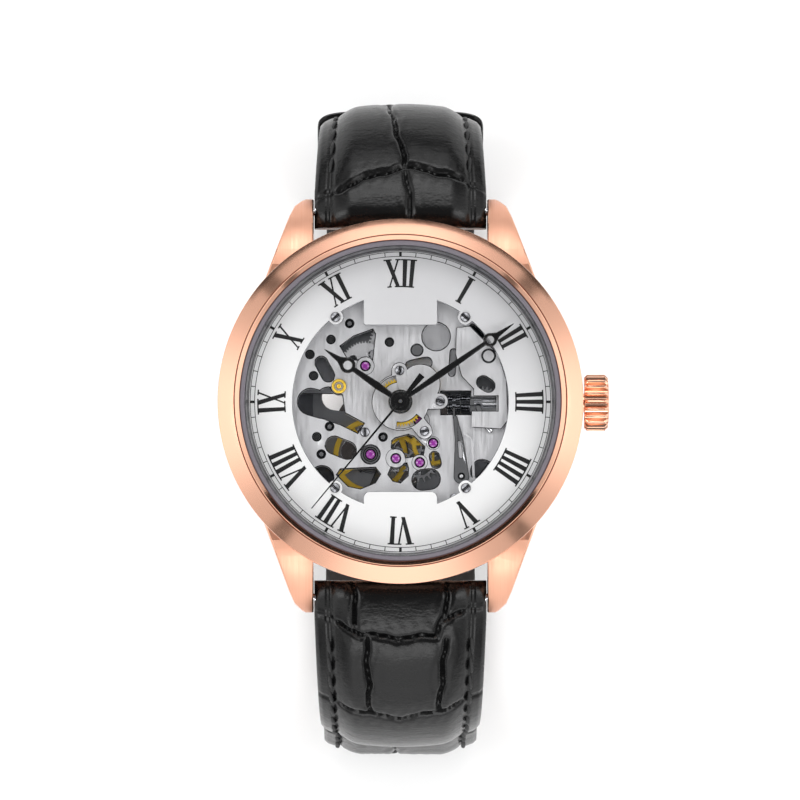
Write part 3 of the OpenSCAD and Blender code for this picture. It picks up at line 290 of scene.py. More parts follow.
def evenCoat(name, spec):
    material, tree = startMaterial(name)
    spot = grainScale(tree, [spec["texture"]] * 3)
    grain = addNode(tree, "TexNoise", {}, {"Vector": spot, "Scale": 1, "Detail": 4})
    gloss = addNode(tree, "MapRange", {}, {
        "Value": grain, "To Min": spec["roughness"] * 0.75, "To Max": spec["roughness"] * 1.25})
    dark = tuple(c * 0.75 for c in toLinear(spec["colour"])[:3]) + (1,)
    tone = addNode(tree, "Mix", inColour, {
        "Factor": grain, 6: toLinear(spec["colour"]), 7: dark})
    bump = addNode(tree, "Bump", {}, {"Strength": spec["depth"], "Distance": 0.05 * mm, "Height": grain})
    finishMaterial(tree, {"Base Color": tone.outputs[2], "Roughness": gloss, "Normal": bump,
                          "Coat Weight": spec["coat"], "Coat Roughness": 0.08})
    return material


coats = {name: evenCoat(name, spec) for name, spec in coatSpecs.items()}

# calf leather pressed with a crocodile grain and glazed: pores and wrinkles between the scales
leatherSpecs = {
    "glazedCalf": {"colour": "#0d0d0e", "shade": "#070707", "roughness": 0.24, "pore": 0.35,
                   "wrinkle": (3.4, 0.9, 0.9), "depth": 0.35, "gloss": 0.3},
    "strapLining": {"colour": "#2a2422", "shade": "#1d1917", "roughness": 0.62, "pore": 0.5,
                    "wrinkle": (2, 2, 2), "depth": 0.35, "gloss": 0.3},
}


def pressedLeather(name, spec):
    material, tree = startMaterial(name)
    spot = grainScale(tree, [spec["pore"]] * 3)
    pores = addNode(tree, "TexVoronoi", {"feature": "F1"}, {"Vector": spot, "Scale": 1})
    folds = grainScale(tree, spec["wrinkle"])
    wrinkles = addNode(tree, "TexNoise", {}, {
        "Vector": folds, "Scale": 1, "Detail": 5, "Roughness": 0.62, "Distortion": 0.4})
    height = addNode(tree, "Math", {"operation": "MULTIPLY_ADD"}, {
        0: pores, 1: 0.25, 2: wrinkles})
    tone = addNode(tree, "Mix", inColour, {
        "Factor": wrinkles, 6: toLinear(spec["colour"]), 7: toLinear(spec["shade"])})
    gloss = addNode(tree, "MapRange", {}, {
        "Value": wrinkles, "From Min": 0.3, "From Max": 0.7,
        "To Min": spec["roughness"] * 0.8, "To Max": spec["roughness"] * 1.3})
    bump = addNode(tree, "Bump", {}, {"Strength": spec["depth"], "Distance": 0.12 * mm, "Height": height})
    finishMaterial(tree, {
        "Base Color": tone.outputs[2], "Roughness": gloss, "Normal": bump,
        "Specular IOR Level": spec["gloss"]})
    return material


leathers = {name: pressedLeather(name, spec) for name, spec in leatherSpecs.items()}


# mineral glass with an anti-reflection coat: nearly clear, with faint reflections at its edge
def coatedGlass():
    material, tree = startMaterial("coatedGlass")
    spot = grainScale(tree, (8, 8, 8))
    smear = addNode(tree, "TexNoise", {}, {"Vector": spot, "Scale": 1, "Detail": 2})
    gloss = addNode(tree, "MapRange", {}, {"Value": smear, "To Min": 0.01, "To Max": 0.05})
    finishMaterial(tree, {"Base Color": toLinear("#10181c"), "Roughness": gloss, "Alpha": 0.03,
                          "IOR": 1.45})
    return material


looks = {**metals, **coats, **leathers, "coatedGlass": coatedGlass(), "silveredDial": silveredDial(dialSpec)}
print("materials:", len(looks))


def meshFrom(name, vertices, faces):
    mesh = bpy.data.meshes.new(name)
    mesh.from_pydata([tuple(v) for v in vertices], [], [list(f) for f in faces])
    return mesh


def addPiece(name, vertices, faces, materials, body, smoothAngle=35):
    return addMesh(name, meshFrom(name, vertices, faces), materials, body, smoothAngle)


def addMesh(name, mesh, materials, body, smoothAngle=35):
    mesh.validate()
    mesh.materials.clear()
    for material in materials:
        mesh.materials.append(material)
    mesh.shade_smooth()
    mesh.set_sharp_from_angle(angle=math.radians(smoothAngle))
    piece = addObject(name, mesh)
    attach(piece, body)
    return piece


# a modifier's result becomes the piece's own mesh
def applyModifiers(piece):
    bpy.context.view_layer.update()
    done = bpy.data.meshes.new_from_object(piece.evaluated_get(bpy.context.evaluated_depsgraph_get()))
    piece.modifiers.clear()
    piece.data = done


# angles in degrees from which an edge is broken or shaded sharp, how upright the normal of a level face is,
# and the distance in mm and angle under which the part's own facets are joined
edgeRule = {"breakFrom": 32, "sharpFrom": 34, "level": 0.99, "weld": 0.0008, "flatten": 0.5}


# the machined part with its edges broken, as a file or a stamping die leaves them
def brokenEdges(node, edge, material, bevelMaterial=None):
    form = bmesh.new()
    form.from_mesh(nodes[node].data)
    flat = math.radians(edgeRule["flatten"])
    bmesh.ops.remove_doubles(form, verts=form.verts, dist=edgeRule["weld"] * mm)
    bmesh.ops.dissolve_limit(form, angle_limit=flat, verts=form.verts, edges=form.edges)
    mesh = bpy.data.meshes.new(node)
    form.to_mesh(mesh)
    form.free()
    piece = addMesh(node + ".finished", mesh, [material, bevelMaterial or material], bodyOf[node], 180)
    bevel = piece.modifiers.new("edge", "BEVEL")
    bevel.width = edge * mm
    bevel.segments = 1 if bevelMaterial else 2
    bevel.limit_method = "ANGLE"
    bevel.angle_limit = math.radians(edgeRule["breakFrom"])
    bevel.use_clamp_overlap = False
    bevel.material = 1 if bevelMaterial else -1
    if bevelMaterial:
        level = piece.modifiers.new("level", "WEIGHTED_NORMAL")
        level.weight = 100
    applyModifiers(piece)
    if not bevelMaterial:
        piece.data.set_sharp_from_angle(angle=math.radians(edgeRule["sharpFrom"]))
        for face in piece.data.polygons:
            face.use_smooth = abs(face.normal.z) < edgeRule["level"]
    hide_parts(node)
    return piece


# width in mm of the broken edge on each machined part, its material, and the metal of a cut bevel; the dark bevel
# metal paints a reflection of the case's dark inside
edgeSpecs = {
    "middle_case": (0.18, "polishedRoseGold"), "crown": (0.07, "polishedRoseGold"),
    "case_back": (0.1, "polishedRoseGold"), "buckle_frame": (0.3, "polishedRoseGold"),
    "buckle_tongue": (0.2, "polishedRoseGold"), "main_plate": (0.11, "grainedNickel", "paintedShadeBevel"),
    "motion_cover": (0.08, "grainedNickel", "paintedShadeBevel"),
    "keyless_cover": (0.08, "grainedNickel", "paintedShadeBevel"),
    "barrel_bridge": (0.08, "satinSteel", "paintedShadeBevel"), "train_bridge": (0.08, "satinSteel", "paintedShadeBevel"),
    "balance_cock": (0.08, "satinSteel", "paintedShadeBevel"), "rotor": (0.08, "satinSteel"),
    "dial_screws": (0.07, "screwSteel", "paintedShadeBevel"), "plate_screws": (0.07, "screwSteel", "paintedShadeBevel"),
    "setting_lever": (0.07, "polishedSteel", "paintedShadeBevel"), "yoke": (0.07, "polishedSteel", "paintedShadeBevel"),
    "pallet_cock": (0.03, "polishedSteel"), "balance_wheel": (0.06, "giltBrass"),
    "winding_bush": (0.05, "giltBrass", "paintedShadeBevel"), "hour_hand": (0.09, "blackLacquer"),
    "minute_hand": (0.09, "blackLacquer"), "seconds_hand": (0.02, "blackLacquer"),
    "dial": (0.06, "silveredDial", "screwSteel"),
}
finished = {}
for node, (edge, *materials) in edgeSpecs.items():
    finished[node] = brokenEdges(node, edge, *[looks[material] for material in materials])
print("edges broken on", len(finished), "parts")


# turned forms about upright axes: each has a centre and bands of a profile, from the outside in, over a base
def turned(name, forms, materials, body, steps, base=0):
    vertices, faces, kinds = [], [], []
    for (x, y), bands in forms:
        for kind, profile in bands:
            first, count = len(vertices), len(profile)
            for step in range(steps):
                angle = 2 * math.pi * step / steps
                for radius, z in profile:
                    vertices.append(mm * Vector((
                        x + radius * math.cos(angle), y + radius * math.sin(angle), base + z)))
            for step in range(steps):
                a, b = first + step * count, first + (step + 1) % steps * count
                faces += [(a + i, b + i, b + i + 1, a + i + 1) for i in range(count - 1)]
                kinds += [kind] * (count - 1)
    piece = addPiece(name, vertices, faces, [looks[material] for material in materials], body, 28)
    for face, kind in zip(piece.data.polygons, kinds):
        face.material_index = kind
    return piece


# bezel: lathe turned face, a fine groove, and the polished ring that leans in to the crystal
bezelBands = [
    (0, [(20.5, 8.1), (20.9, 8.3), (21, 8.45), (21, 9.44), (20.96, 9.52)]),
    (1, [(20.96, 9.52), (20.5, 9.89), (20, 10.26), (19.5, 10.6), (19.14, 10.83)]),
    (2, [(19.14, 10.83), (19.09, 10.76), (19.04, 10.83)]),
    (0, [(19.04, 10.83), (18.99, 11.06), (18.94, 11.12), (18.72, 10.94), (18.5, 10.74)]),
    (2, [(18.5, 10.74), (18.46, 10.66), (18.46, 9.9)]),
]
bezelMaterials = ("polishedRoseGold", "turnedRoseGold", "brownShadow")
finished["bezel"] = turned("bezelTurned", [((0, 0), bezelBands)], bezelMaterials, "case", 320)
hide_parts("bezel")

# gasket round the crystal, and the flange that leads down from it to the dial, with a band of painted shade in the
# dark bevel metal across its slope
gasketBands = [
    (0, [(18.44, 10.2), (18.44, 10.5), (18.34, 10.6), (17.98, 10.6), (17.88, 10.5), (17.88, 9.95)]),
]
flangeBands = [
    (0, [(17.96, 9.9), (17.78, 9.9), (17.74, 9.6), (17.58, 9.0)]),
    (1, [(17.58, 9.0), (17.54, 8.9), (17.48, 8.6)]),
    (0, [(17.48, 8.6), (17.42, 8.3), (17.36, 7.97)]),
]
gasket = turned("crystalGasket", [((0, 0), gasketBands)], ["nylonGasket"], "case", 320)
flange = turned("flangeRing", [((0, 0), flangeBands)], ["satinFlange", "paintedShadeBevel"], "case", 320)
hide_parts("crystal_gasket")
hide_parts("rehaut")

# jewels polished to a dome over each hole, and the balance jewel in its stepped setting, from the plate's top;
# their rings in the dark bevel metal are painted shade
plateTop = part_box("jewels")[1].z / mm + 0.05
jewelAt = {"reversing": (-4.03, 4.22), "third": (2.14, -2.13), "fourth": (3.76, -4.68),
           "escape": (2.21, -6.89), "fork": (-0.53, -6.43)}
balanceAt = tuple(jointAt["balance_swing"][i] / mm for i in (0, 1))
domeBands = [
    (1, [(0.56, 0.002), (0.5, 0.01), (0.46, -0.03)]),
    (0, [(0.46, -0.03), (0.43, 0.03), (0.32, 0.1), (0.16, 0.14), (0, 0.15)]),
]
turned("jewelDomes", [(place, domeBands) for place in jewelAt.values()],
       ["syntheticRuby", "paintedShadeBevel"], bodyOf["jewels"], 48, plateTop)
settingBands = [
    (1, [(1.13, 0), (1.08, 0.03), (1.02, 0.05)]),
    (2, [(1.02, 0.05), (0.99, 0.12), (0.88, 0.12)]),
    (1, [(0.88, 0.12), (0.84, 0.03), (0.76, 0.03), (0.73, 0.1)]),
    (2, [(0.73, 0.1), (0.66, 0.1)]),
    (1, [(0.66, 0.1), (0.58, 0), (0.5, 0.02)]),
    (0, [(0.5, 0.02), (0.44, 0.1), (0.3, 0.17), (0.14, 0.2), (0, 0.21)]),
]
setting = turned("balanceSetting", [(balanceAt, settingBands)],
                 ["syntheticRuby", "paintedShadeBevel", "polishedSteel"], bodyOf["balance_jewel"], 72, plateTop)
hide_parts("balance_jewel")

# pin ends in the plate's small holes with rims of painted shade, holes left open with painted shade in their
# wells, and a fine line of painted shade round each bearing's boss
pinPlaces = [(-5.84, 9.11), (-8.14, -2.75), (-9.09, -5.94), (-2, -3.97), (8.7, 3.5)]
holePlaces = [(-1.26, 6.96), (-7.99, 7.26), (-10.4, 5.54), (-9.98, 3.09), (-9.61, -3.94), (11.4, -2.2)]
rimBand = (1, [(0.56, 0.001), (0.5, 0.012), (0.4, 0.01), (0.36, -0.3)])
pinBand = (0, [(0.3, -0.3), (0.3, -0.04), (0.24, 0.02), (0.12, 0.04), (0, 0.045)])
wellBand = (2, [(0.37, -0.3), (0.2, -0.32), (0, -0.33)])
turned("pinEnds", [(place, [rimBand, pinBand]) for place in pinPlaces]
       + [(place, [rimBand, wellBand]) for place in holePlaces],
       ["polishedSteel", "paintedShadeBevel", "paintedShadeLine"], bodyOf["main_plate"], 40, plateTop)
bossRadii = {"reversing": 1.02, "third": 1.2, "fourth": 0.76, "escape": 0.9, "fork": 1.15}
lineHalf, lineLift = 0.03, 0.004
turned("bossLines", [(jewelAt[name], [(0, [(radius + lineHalf, lineLift), (radius - lineHalf, lineLift)])])
                     for name, radius in bossRadii.items()],
       ["paintedShadeLine"], bodyOf["main_plate"], 72, plateTop)
print("turned rings, jewels and pins made")

# nodes that keep their own mesh
keptSpecs = {
    "polishedRoseGold": ("crown_tube", "buckle_bar"),
    "grainedNickel": ("movement_ring", "yoke_spring", "barrel", "reversing_wheel"),
    "polishedSteel": ("spring_bars", "rotor_bearing", "cannon_pinion", "seconds_pinion", "stem",
                      "escape_wheel", "ratchet_wheel", "winding_wheel", "crown_wheel"),
    "darkSteel": ("winding_pinion", "sliding_pinion", "hairspring"),
    "giltBrass": ("centre_wheel", "third_wheel", "fourth_wheel", "minute_wheel", "hour_wheel"),
    "sinteredTungsten": ("rotor_weight",), "syntheticRuby": ("jewels",), "mouldedRubber": ("back_gasket",),
    "coatedGlass": ("crystal", "back_crystal"),
}


def setMaterial(piece, *materials):
    piece.data.materials.clear()
    for material in materials:
        piece.data.materials.append(material)


for material, names in keptSpecs.items():
    for node in names:
        setMaterial(nodes[node], looks[material])
setMaterial(nodes["pallet_fork"], metals["polishedSteel"], coats["syntheticRuby"])

# the lug tops are brushed along their length; the rest of the case is polished: how upright a lug top's
# normal is at least, how far from the axis it starts in mm, and how far its normal may lean sideways
lugTop = {"upright": 0.25, "from": 19.5, "sideways": 0.35}
caseMesh = finished["middle_case"].data
caseMesh.materials[1] = metals["brushedRoseGold"]
for face in caseMesh.polygons:
    beyond = math.hypot(face.center.x, face.center.y) > lugTop["from"] * mm
    if beyond and face.normal.z > lugTop["upright"] and abs(face.normal.x) < lugTop["sideways"]:
        face.material_index = 1

# the strap runs over the bend, down behind the watch and along the flat bottom, as in the part's source
strapSpec = {
    "barY": 22.2, "barZ": 2.9, "firstHeading": -12, "sideHeading": -88, "lowBend": 13, "depth": 60,
    "caseWidth": 19.8, "endWidth": 17.6, "caseThick": 4.3, "midThick": 3, "edgeThick": 2, "endTrim": 1.2,
    "acrossSteps": 120, "alongStep": 0.22, "crown": 0.75, "thinEdge": 0.35, "thickFor": 8, "thinFrom": 20,
    "thinBy": 6, "pointLength": 9, "pointShare": 0.55,
}
halves = {
    "upper": {"bend": 13, "length": 76, "endRadius": 1.4, "tip": 0, "side": 1, "body": "strap_upper",
              "sway": ((15, 12, 0.5),), "firstRow": 21, "seed": 3},
    "lower": {"bend": 17.5, "length": 107, "endRadius": 0.6, "tip": 1, "side": -1, "body": "strap_lower",
              "sway": ((45, 24, -2.6),), "firstRow": 27, "seed": 5},
}


def stepAlong(place, length, turn):
    y, z, heading = place
    if turn == 0:
        return y + length * math.cos(heading), z + length * math.sin(heading), heading
    radius = length / turn
    return (y + radius * (math.sin(heading + turn) - math.sin(heading)),
            z - radius * (math.cos(heading + turn) - math.cos(heading)), heading + turn)


def strapRoute(half):
    first, side = math.radians(strapSpec["firstHeading"]), math.radians(strapSpec["sideHeading"])
    bend, low = half["bend"], strapSpec["lowBend"]
    bendLength, lowLength = bend * (first - side), low * (side + math.pi)
    drop = bend * (math.cos(side) - math.cos(first))
    fall = strapSpec["depth"] + strapSpec["barZ"] + drop - low * (1 + math.cos(side))
    sideLength = fall / -math.sin(side)
    rest = half["length"] - bendLength - sideLength - lowLength
    return [(bendLength, side - first), (sideLength, 0), (lowLength, -math.pi - side), (rest, 0)]


def strapPlace(half, s):
    place = (strapSpec["barY"], strapSpec["barZ"], math.radians(strapSpec["firstHeading"]))
    route = strapRoute(half)
    for index, (length, turn) in enumerate(route):
        if s <= length or index == len(route) - 1:
            return stepAlong(place, s, turn * s / length)
        place = stepAlong(place, length, turn)
        s -= length


def ramp(s, start, end):
    return min(1, max(0, (s - start) / (end - start)))


def mix(a, b, share):
    return a + (b - a) * share


# half width, lower face, edge height and top face of the strap at s, in mm about its bar line
def strapForm(half, s):
    spec = strapSpec
    total, bendLength = half["length"], strapRoute(half)[0][0]
    nose = math.sqrt(max(0.05, 1 - (2 * s / spec["caseThick"]) ** 2)) if s < 0 else 1
    over = s - total
    tail = math.sqrt(max(0.08, 1 - (over / half["endRadius"]) ** 2)) if over > 0 else 1
    near = ramp(s, 0, spec["thickFor"])
    low = mix(spec["caseThick"] / 2, 1, near) * nose * tail
    top = mix(mix(spec["caseThick"] / 2, spec["midThick"] - 1, near), spec["midThick"] - 1.6,
              ramp(s, total - spec["thinFrom"], total - spec["thinBy"])) * nose * tail
    width = mix(mix(spec["caseWidth"], spec["endWidth"] + 0.7, ramp(s, 2, bendLength)), spec["endWidth"],
                ramp(s, bendLength, total)) / 2
    tapered = ramp(s, total - spec["pointLength"], total)
    point = half["tip"] * max(0, 1 - math.sqrt(max(0, 1 - tapered ** 2)))
    edge = max(-low + 0.75, min(top - 0.05, spec["edgeThick"] - 1) * nose * tail)
    return width - point * width * spec["pointShare"], low, edge, top


# the leather stands off its route here and there, by a smooth rise about a length along it
def swayAt(half, s):
    return sum(rise * math.cos(math.pi / 2 * min(1, abs(s - middle) / reach)) ** 2
               for middle, reach, rise in half["sway"])


# a point on the strap: across in mm, s along it, and height over the bar line
def onStrap(half, across, s, height):
    y, z, heading = strapPlace(half, s)
    height += swayAt(half, s)
    return Vector((across * mm, half["side"] * (y - height * math.sin(heading)) * mm,
                   (z + height * math.cos(heading)) * mm))


# a point across and along the strap, at the height of the padding's crown
def onPadding(half, across, s):
    return onStrap(half, across, s, strapForm(half, s)[3] + strapSpec["crown"])


spotSearch = {"step": 0.1, "count": 280}  # along the strap, in mm


# where an image point lies on the strap, as its distance across and along
def strapSpot(name, side):
    x = placeAt(name, surfaceTree(nodes["strap_" + side])).x / mm
    stops = [i * spotSearch["step"] for i in range(spotSearch["count"])]
    gaps = [math.dist(toPixels(onPadding(halves[side], x, s)), imagePoints[name]) for s in stops]
    return x, stops[gaps.index(min(gaps))]


# creases between the pressed scales, each a chain of (across, along) points in mm, with its depth
def visibleCreases(side):
    width = strapSpec["caseWidth"] / 2
    if side == "upper":
        x, s = strapSpot("creaseUpperPeak", side)
        ridge = [(-width, s - 3.2), (-6.6, s - 2.2), (x - 2, s - 0.5), (x, s), (x + 2.6, s - 0.3),
                 (width, s - 2)]
        return [(ridge, 0.5), ([(x, s), (x - 0.5, s + 3), (x - 1.3, s + 6.2), (x - 2, s + 12)], 0.5),
                ([(x + 0.1, s - 0.2), (x + 0.4, s - 3), (x + 0.9, s - 7)], 0.35)]
    x, s = strapSpot("creaseLowerLeft", side)
    baseX, baseS = strapSpot("creaseLowerBase", side)
    ridge = [(-width, s - 2.2), (x - 2, s - 1), (x, s), (0, s + 0.35), (x + 8.6, s + 0.1), (4.9, s - 1.8),
             (width, s - 3)]
    base = [(-width, baseS - 1.2), (baseX, baseS), (0, baseS + 0.6), (4.4, baseS - 0.4), (width, baseS - 1.6)]
    return [(ridge, 0.5), ([(-5.4, s - 7), (-5.3, s - 3), (-5.1, s - 1.2)], 0.45),
            ([(5.3, s - 7), (5.2, s - 3), (5, s - 1.6)], 0.45), ([(x + 0.6, s), (baseX, baseS)], 0.5),
            ([(5.2, s + 0.4), (4.4, baseS - 0.4)], 0.5), (base, 0.5)]


creaseSpec = {
    "width": 0.27, "shoulder": 2.2, "dome": 0.16, "border": 2.3, "soft": 0.7, "wrinkle": 0.03, "wobble": 0.14,
    "ripple": 0.04, "rowPitch": (7.5, 9.5), "rowBend": 0.7, "columns": ((-3.8, 3.6), (-0.4,)),
    "columnBend": 0.5, "hiddenDepth": 0.4, "endRoom": 8,
}


def hiddenCreases(half):
    draw, spec = random.Random(half["seed"]), creaseSpec
    creases, s, width = [], half["firstRow"], strapSpec["caseWidth"] / 2
    while s < half["length"] - spec["endRoom"]:
        bend = [draw.uniform(-spec["rowBend"], spec["rowBend"]) for _ in range(4)]
        row = [(-width, s + bend[0]), (-3, s + bend[1]), (3, s + bend[2]), (width, s + bend[3])]
        creases.append((row, spec["hiddenDepth"]))
        following = s + draw.uniform(*spec["rowPitch"])
        for x in spec["columns"][len(creases) % 2]:
            x += draw.uniform(-spec["columnBend"], spec["columnBend"])
            middle = x + draw.uniform(-spec["columnBend"], spec["columnBend"])
            creases.append(([(x, s), (middle, (s + following) / 2), (x, following)], spec["hiddenDepth"]))
        s = following
    return creases


# relief in mm of the pressed scales at many points of the top face at once
def scaleRelief(half, creases, across, along, inner):
    spec = creaseSpec
    near = np.full(across.shape, 9.0)
    groove = np.zeros(across.shape)
    wobble = spec["wobble"] * np.sin(along * 1.3 + half["seed"]) + spec["ripple"] * np.sin(along * 3.1)
    lift = spec["wobble"] * np.sin(across * 1.2 + half["seed"]) + spec["ripple"] * np.sin(across * 3.3)
    for chain, depth in creases:
        for (x0, s0), (x1, s1) in zip(chain, chain[1:]):
            dx, ds = x1 - x0, s1 - s0
            share = ((across - x0 + wobble) * dx + (along - s0 + lift) * ds) / (dx * dx + ds * ds)
            share = np.clip(share, 0, 1)
            gap = np.hypot(across + wobble - x0 - share * dx, along + lift - s0 - share * ds)
            near = np.minimum(near, gap)
            groove = np.maximum(groove, depth * np.exp(-(gap / spec["width"]) ** 2))
    dome = np.minimum(1, near / spec["shoulder"]) ** 0.5 - 1
    wrinkle = np.sin(across * 4.2 + 2 * np.sin(along * 0.9)) * np.exp(-((near - 0.9) / spec["soft"]) ** 2)
    border = np.clip((inner - spec["border"]) / spec["soft"], 0, 1)
    return border * (spec["dome"] * dome - groove + spec["wrinkle"] * wrinkle) - (1 - border) * 0.45 * groove


# the padding in mm: where along the strap it grows and fades, and in from the edge where the rim, the channel
# that the stitches lie in and the rise to the arched middle run
paddingSpec = {
    "grows": (2, 11), "fades": (34, 48), "rim": 0.4, "thinFor": 3, "lift": 0.35, "lifts": (0.4, 1.4),
    "channel": 0.22, "sinks": (1.3, 1.75), "returns": (1.75, 2.3), "archIn": 1.6, "rises": (1.9, 4.4),
    "flat": 0.3,
}


# height of the padded top face over the bar line
def topHeight(edge, top, width, across, s):
    spec = paddingSpec
    inner = width - abs(across)
    grown = ramp(s, *spec["grows"]) * (1 - ramp(s, *spec["fades"]))
    rim = edge - spec["rim"] + min(inner, spec["rim"])
    rim -= strapSpec["thinEdge"] * grown * (1 - ramp(inner, 0, spec["thinFor"]))
    lined = rim + spec["lift"] * ramp(inner, *spec["lifts"])
    lined -= spec["channel"] * ramp(inner, *spec["sinks"]) * (1 - ramp(inner, *spec["returns"]))
    arch = 1 - (across / max(0.1, width - spec["archIn"])) ** 2
    rise = math.sin(math.pi / 2 * ramp(inner, *spec["rises"]))
    padding = top - edge - spec["flat"] + strapSpec["crown"] * grown * max(0, arch)
    return lined + rise * padding + spec["flat"] * rise * (1 - grown)


def strapHalf(side):
    half, spec = halves[side], strapSpec
    count = int((half["length"] + half["endRadius"] + spec["endTrim"]) / spec["alongStep"])
    start, stop = -spec["endTrim"] * 1.6, half["length"] + half["endRadius"] * 0.95
    stops = [mix(start, stop, i / count) for i in range(count + 1)]
    columns = spec["acrossSteps"]
    forms = [strapForm(half, s) for s in stops]
    across = np.array([[mix(-width, width, i / columns) for i in range(columns + 1)] for width, *_ in forms])
    along = np.array([[s] * (columns + 1) for s in stops])
    inner = np.array([[width] for width, *_ in forms]) - np.abs(across)
    relief = scaleRelief(half, visibleCreases(side) + hiddenCreases(half), across, along, inner)
    vertices, faces, linings = [], [], []
    for row, s in enumerate(stops):
        width, low, edge, top = forms[row]
        for i in range(columns + 1):
            x = across[row][i]
            vertices.append(onStrap(half, x, s, topHeight(edge, top, width, x, s) + relief[row][i]))
        for x, height in ((width, 0.3 - low), (width - 0.3, -low), (0.3 - width, -low), (-width, 0.3 - low)):
            vertices.append(onStrap(half, x, s, height))
    ring = columns + 5
    for row in range(count):
        for i in range(ring):
            a, b = row * ring + i, row * ring + (i + 1) % ring
            faces.append((a, b, b + ring, a + ring) if half["side"] > 0 else (a, a + ring, b + ring, b))
            linings.append(1 if i > columns else 0)
    for row in (0, count):
        cap = [row * ring + i for i in range(ring)]
        faces.append(cap if (row > 0) == (half["side"] > 0) else cap[::-1])
        linings.append(0)
    piece = addPiece("strapLeather." + side, vertices, faces,
                     [leathers["glazedCalf"], leathers["strapLining"]], half["body"], 50)
    for face, lining in zip(piece.data.polygons, linings):
        face.material_index = lining
    return piece


strapPieces = {side: strapHalf(side) for side in halves}

# the tail's adjusting holes and the buckle tongue's slot, in mm from the strap's end
holeSpec = {"count": 7, "radius": 0.9, "pitch": 6.5, "fromEnd": 22, "sides": 24}
slotSpec = {"halfWidth": 1.2, "before": 3, "beyond": 4.4}


# faces of a tube of rings with this many sides, and of its two ends
def tubeFaces(first, rings, sides):
    faces = []
    for ring in range(rings):
        for corner in range(sides):
            a, b = first + ring * sides + corner, first + ring * sides + (corner + 1) % sides
            faces.append((a, b, b + sides, a + sides))
    faces.append([first + corner for corner in range(sides)][::-1])
    faces.append([first + rings * sides + corner for corner in range(sides)])
    return faces


# cuts outlines of (across, along) points straight through the leather
def punchStrap(side, outlines):
    vertices, faces = [], []
    for outline in outlines:
        faces += tubeFaces(len(vertices), 1, len(outline))
        for height in (-4, 4):
            vertices += [onStrap(halves[side], x, s, height) for x, s in outline]
    mesh = meshFrom("punch", vertices, faces)
    form = bmesh.new()
    form.from_mesh(mesh)
    bmesh.ops.recalc_face_normals(form, faces=form.faces)
    form.to_mesh(mesh)
    form.free()
    punch = addObject("punch", mesh)
    cut = strapPieces[side].modifiers.new("holes", "BOOLEAN")
    cut.operation = "DIFFERENCE"
    cut.object = punch
    applyModifiers(strapPieces[side])
    bpy.data.objects.remove(punch)


def roundHole(s):
    corners = [2 * math.pi * i / holeSpec["sides"] for i in range(holeSpec["sides"])]
    radius = holeSpec["radius"]
    return [(radius * math.cos(angle), s + radius * math.sin(angle)) for angle in corners]


firstHole = halves["lower"]["length"] - holeSpec["fromEnd"]
slotEnds = halves["upper"]["length"] - slotSpec["before"], halves["upper"]["length"] + slotSpec["beyond"]
wide = slotSpec["halfWidth"]
punchStrap("lower", [roundHole(firstHole - holeSpec["pitch"] * i) for i in range(holeSpec["count"])])
punchStrap("upper", [[(-wide, slotEnds[0]), (wide, slotEnds[0]), (wide, slotEnds[1]), (-wide, slotEnds[1])]])
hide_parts("strap_upper")
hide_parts("strap_lower")
print("strap halves swept")

# saddle stitches sunk beside each edge
stitchSpec = {"pitch": 2.45, "length": 2.05, "radius": 0.23, "sides": 8, "rings": 9, "sink": 0.06,
              "first": 5.4, "bare": 9, "slant": 0.2}


def stitches(side, half):
    vertices, faces = [], []
    spec = stitchSpec
    spotX, spotS = strapSpot({"upper": "stitchUpperLeft", "lower": "stitchLowerLeft"}[side], side)
    inset = strapForm(half, spotS)[0] - abs(spotX)
    count = int((half["length"] - spec["bare"]) / spec["pitch"])
    for edgeSide in (-1, 1):
        for index in range(count):
            middle = spec["first"] + spec["pitch"] * index
            faces += tubeFaces(len(vertices), spec["rings"], spec["sides"])
            for ring in range(spec["rings"] + 1):
                share = ring / spec["rings"]
                s = middle + spec["length"] * (share - 0.5)
                width, _, edge, top = strapForm(half, s)
                across = edgeSide * (width - inset) + spec["slant"] * (share - 0.5)
                arch = math.sin(math.pi * share)
                radius = spec["radius"] * (0.5 + 0.5 * arch ** 0.5) * (1 + 0.12 * math.sin(share * 25))
                base = topHeight(edge, top, width, across, s) + spec["sink"] * (3 * arch - 1.2)
                for corner in range(spec["sides"]):
                    angle = 2 * math.pi * corner / spec["sides"]
                    vertices.append(onStrap(half, across + radius * math.cos(angle), s,
                                            base + radius * math.sin(angle)))
    return addPiece("saddleStitches." + side, vertices, faces, [coats["waxedThread"]], half["body"], 60)


sewn = {side: stitches(side, half) for side, half in halves.items()}


# leather keepers: a folded band with rounded corners, round the strap at a length s along it
keeperSpecs = {
    "fixed_keeper": {"s": 63, "wide": 6, "room": 5.3, "low": 1.4, "side": 0.4},
    "free_keeper": {"s": 42, "wide": 5, "room": 4.3, "low": 1.35, "side": 0.15},
}
keeperSteps, keeperCorner = 96, 0.43
bandProfile = ((-0.5, 0.05), (-0.5, 0.45), (-0.46, 0.6), (-0.3, 0.55), (0.3, 0.55), (0.46, 0.6), (0.5, 0.45),
               (0.5, 0.05))


def cornered(value):
    return math.copysign(abs(value) ** keeperCorner, value)


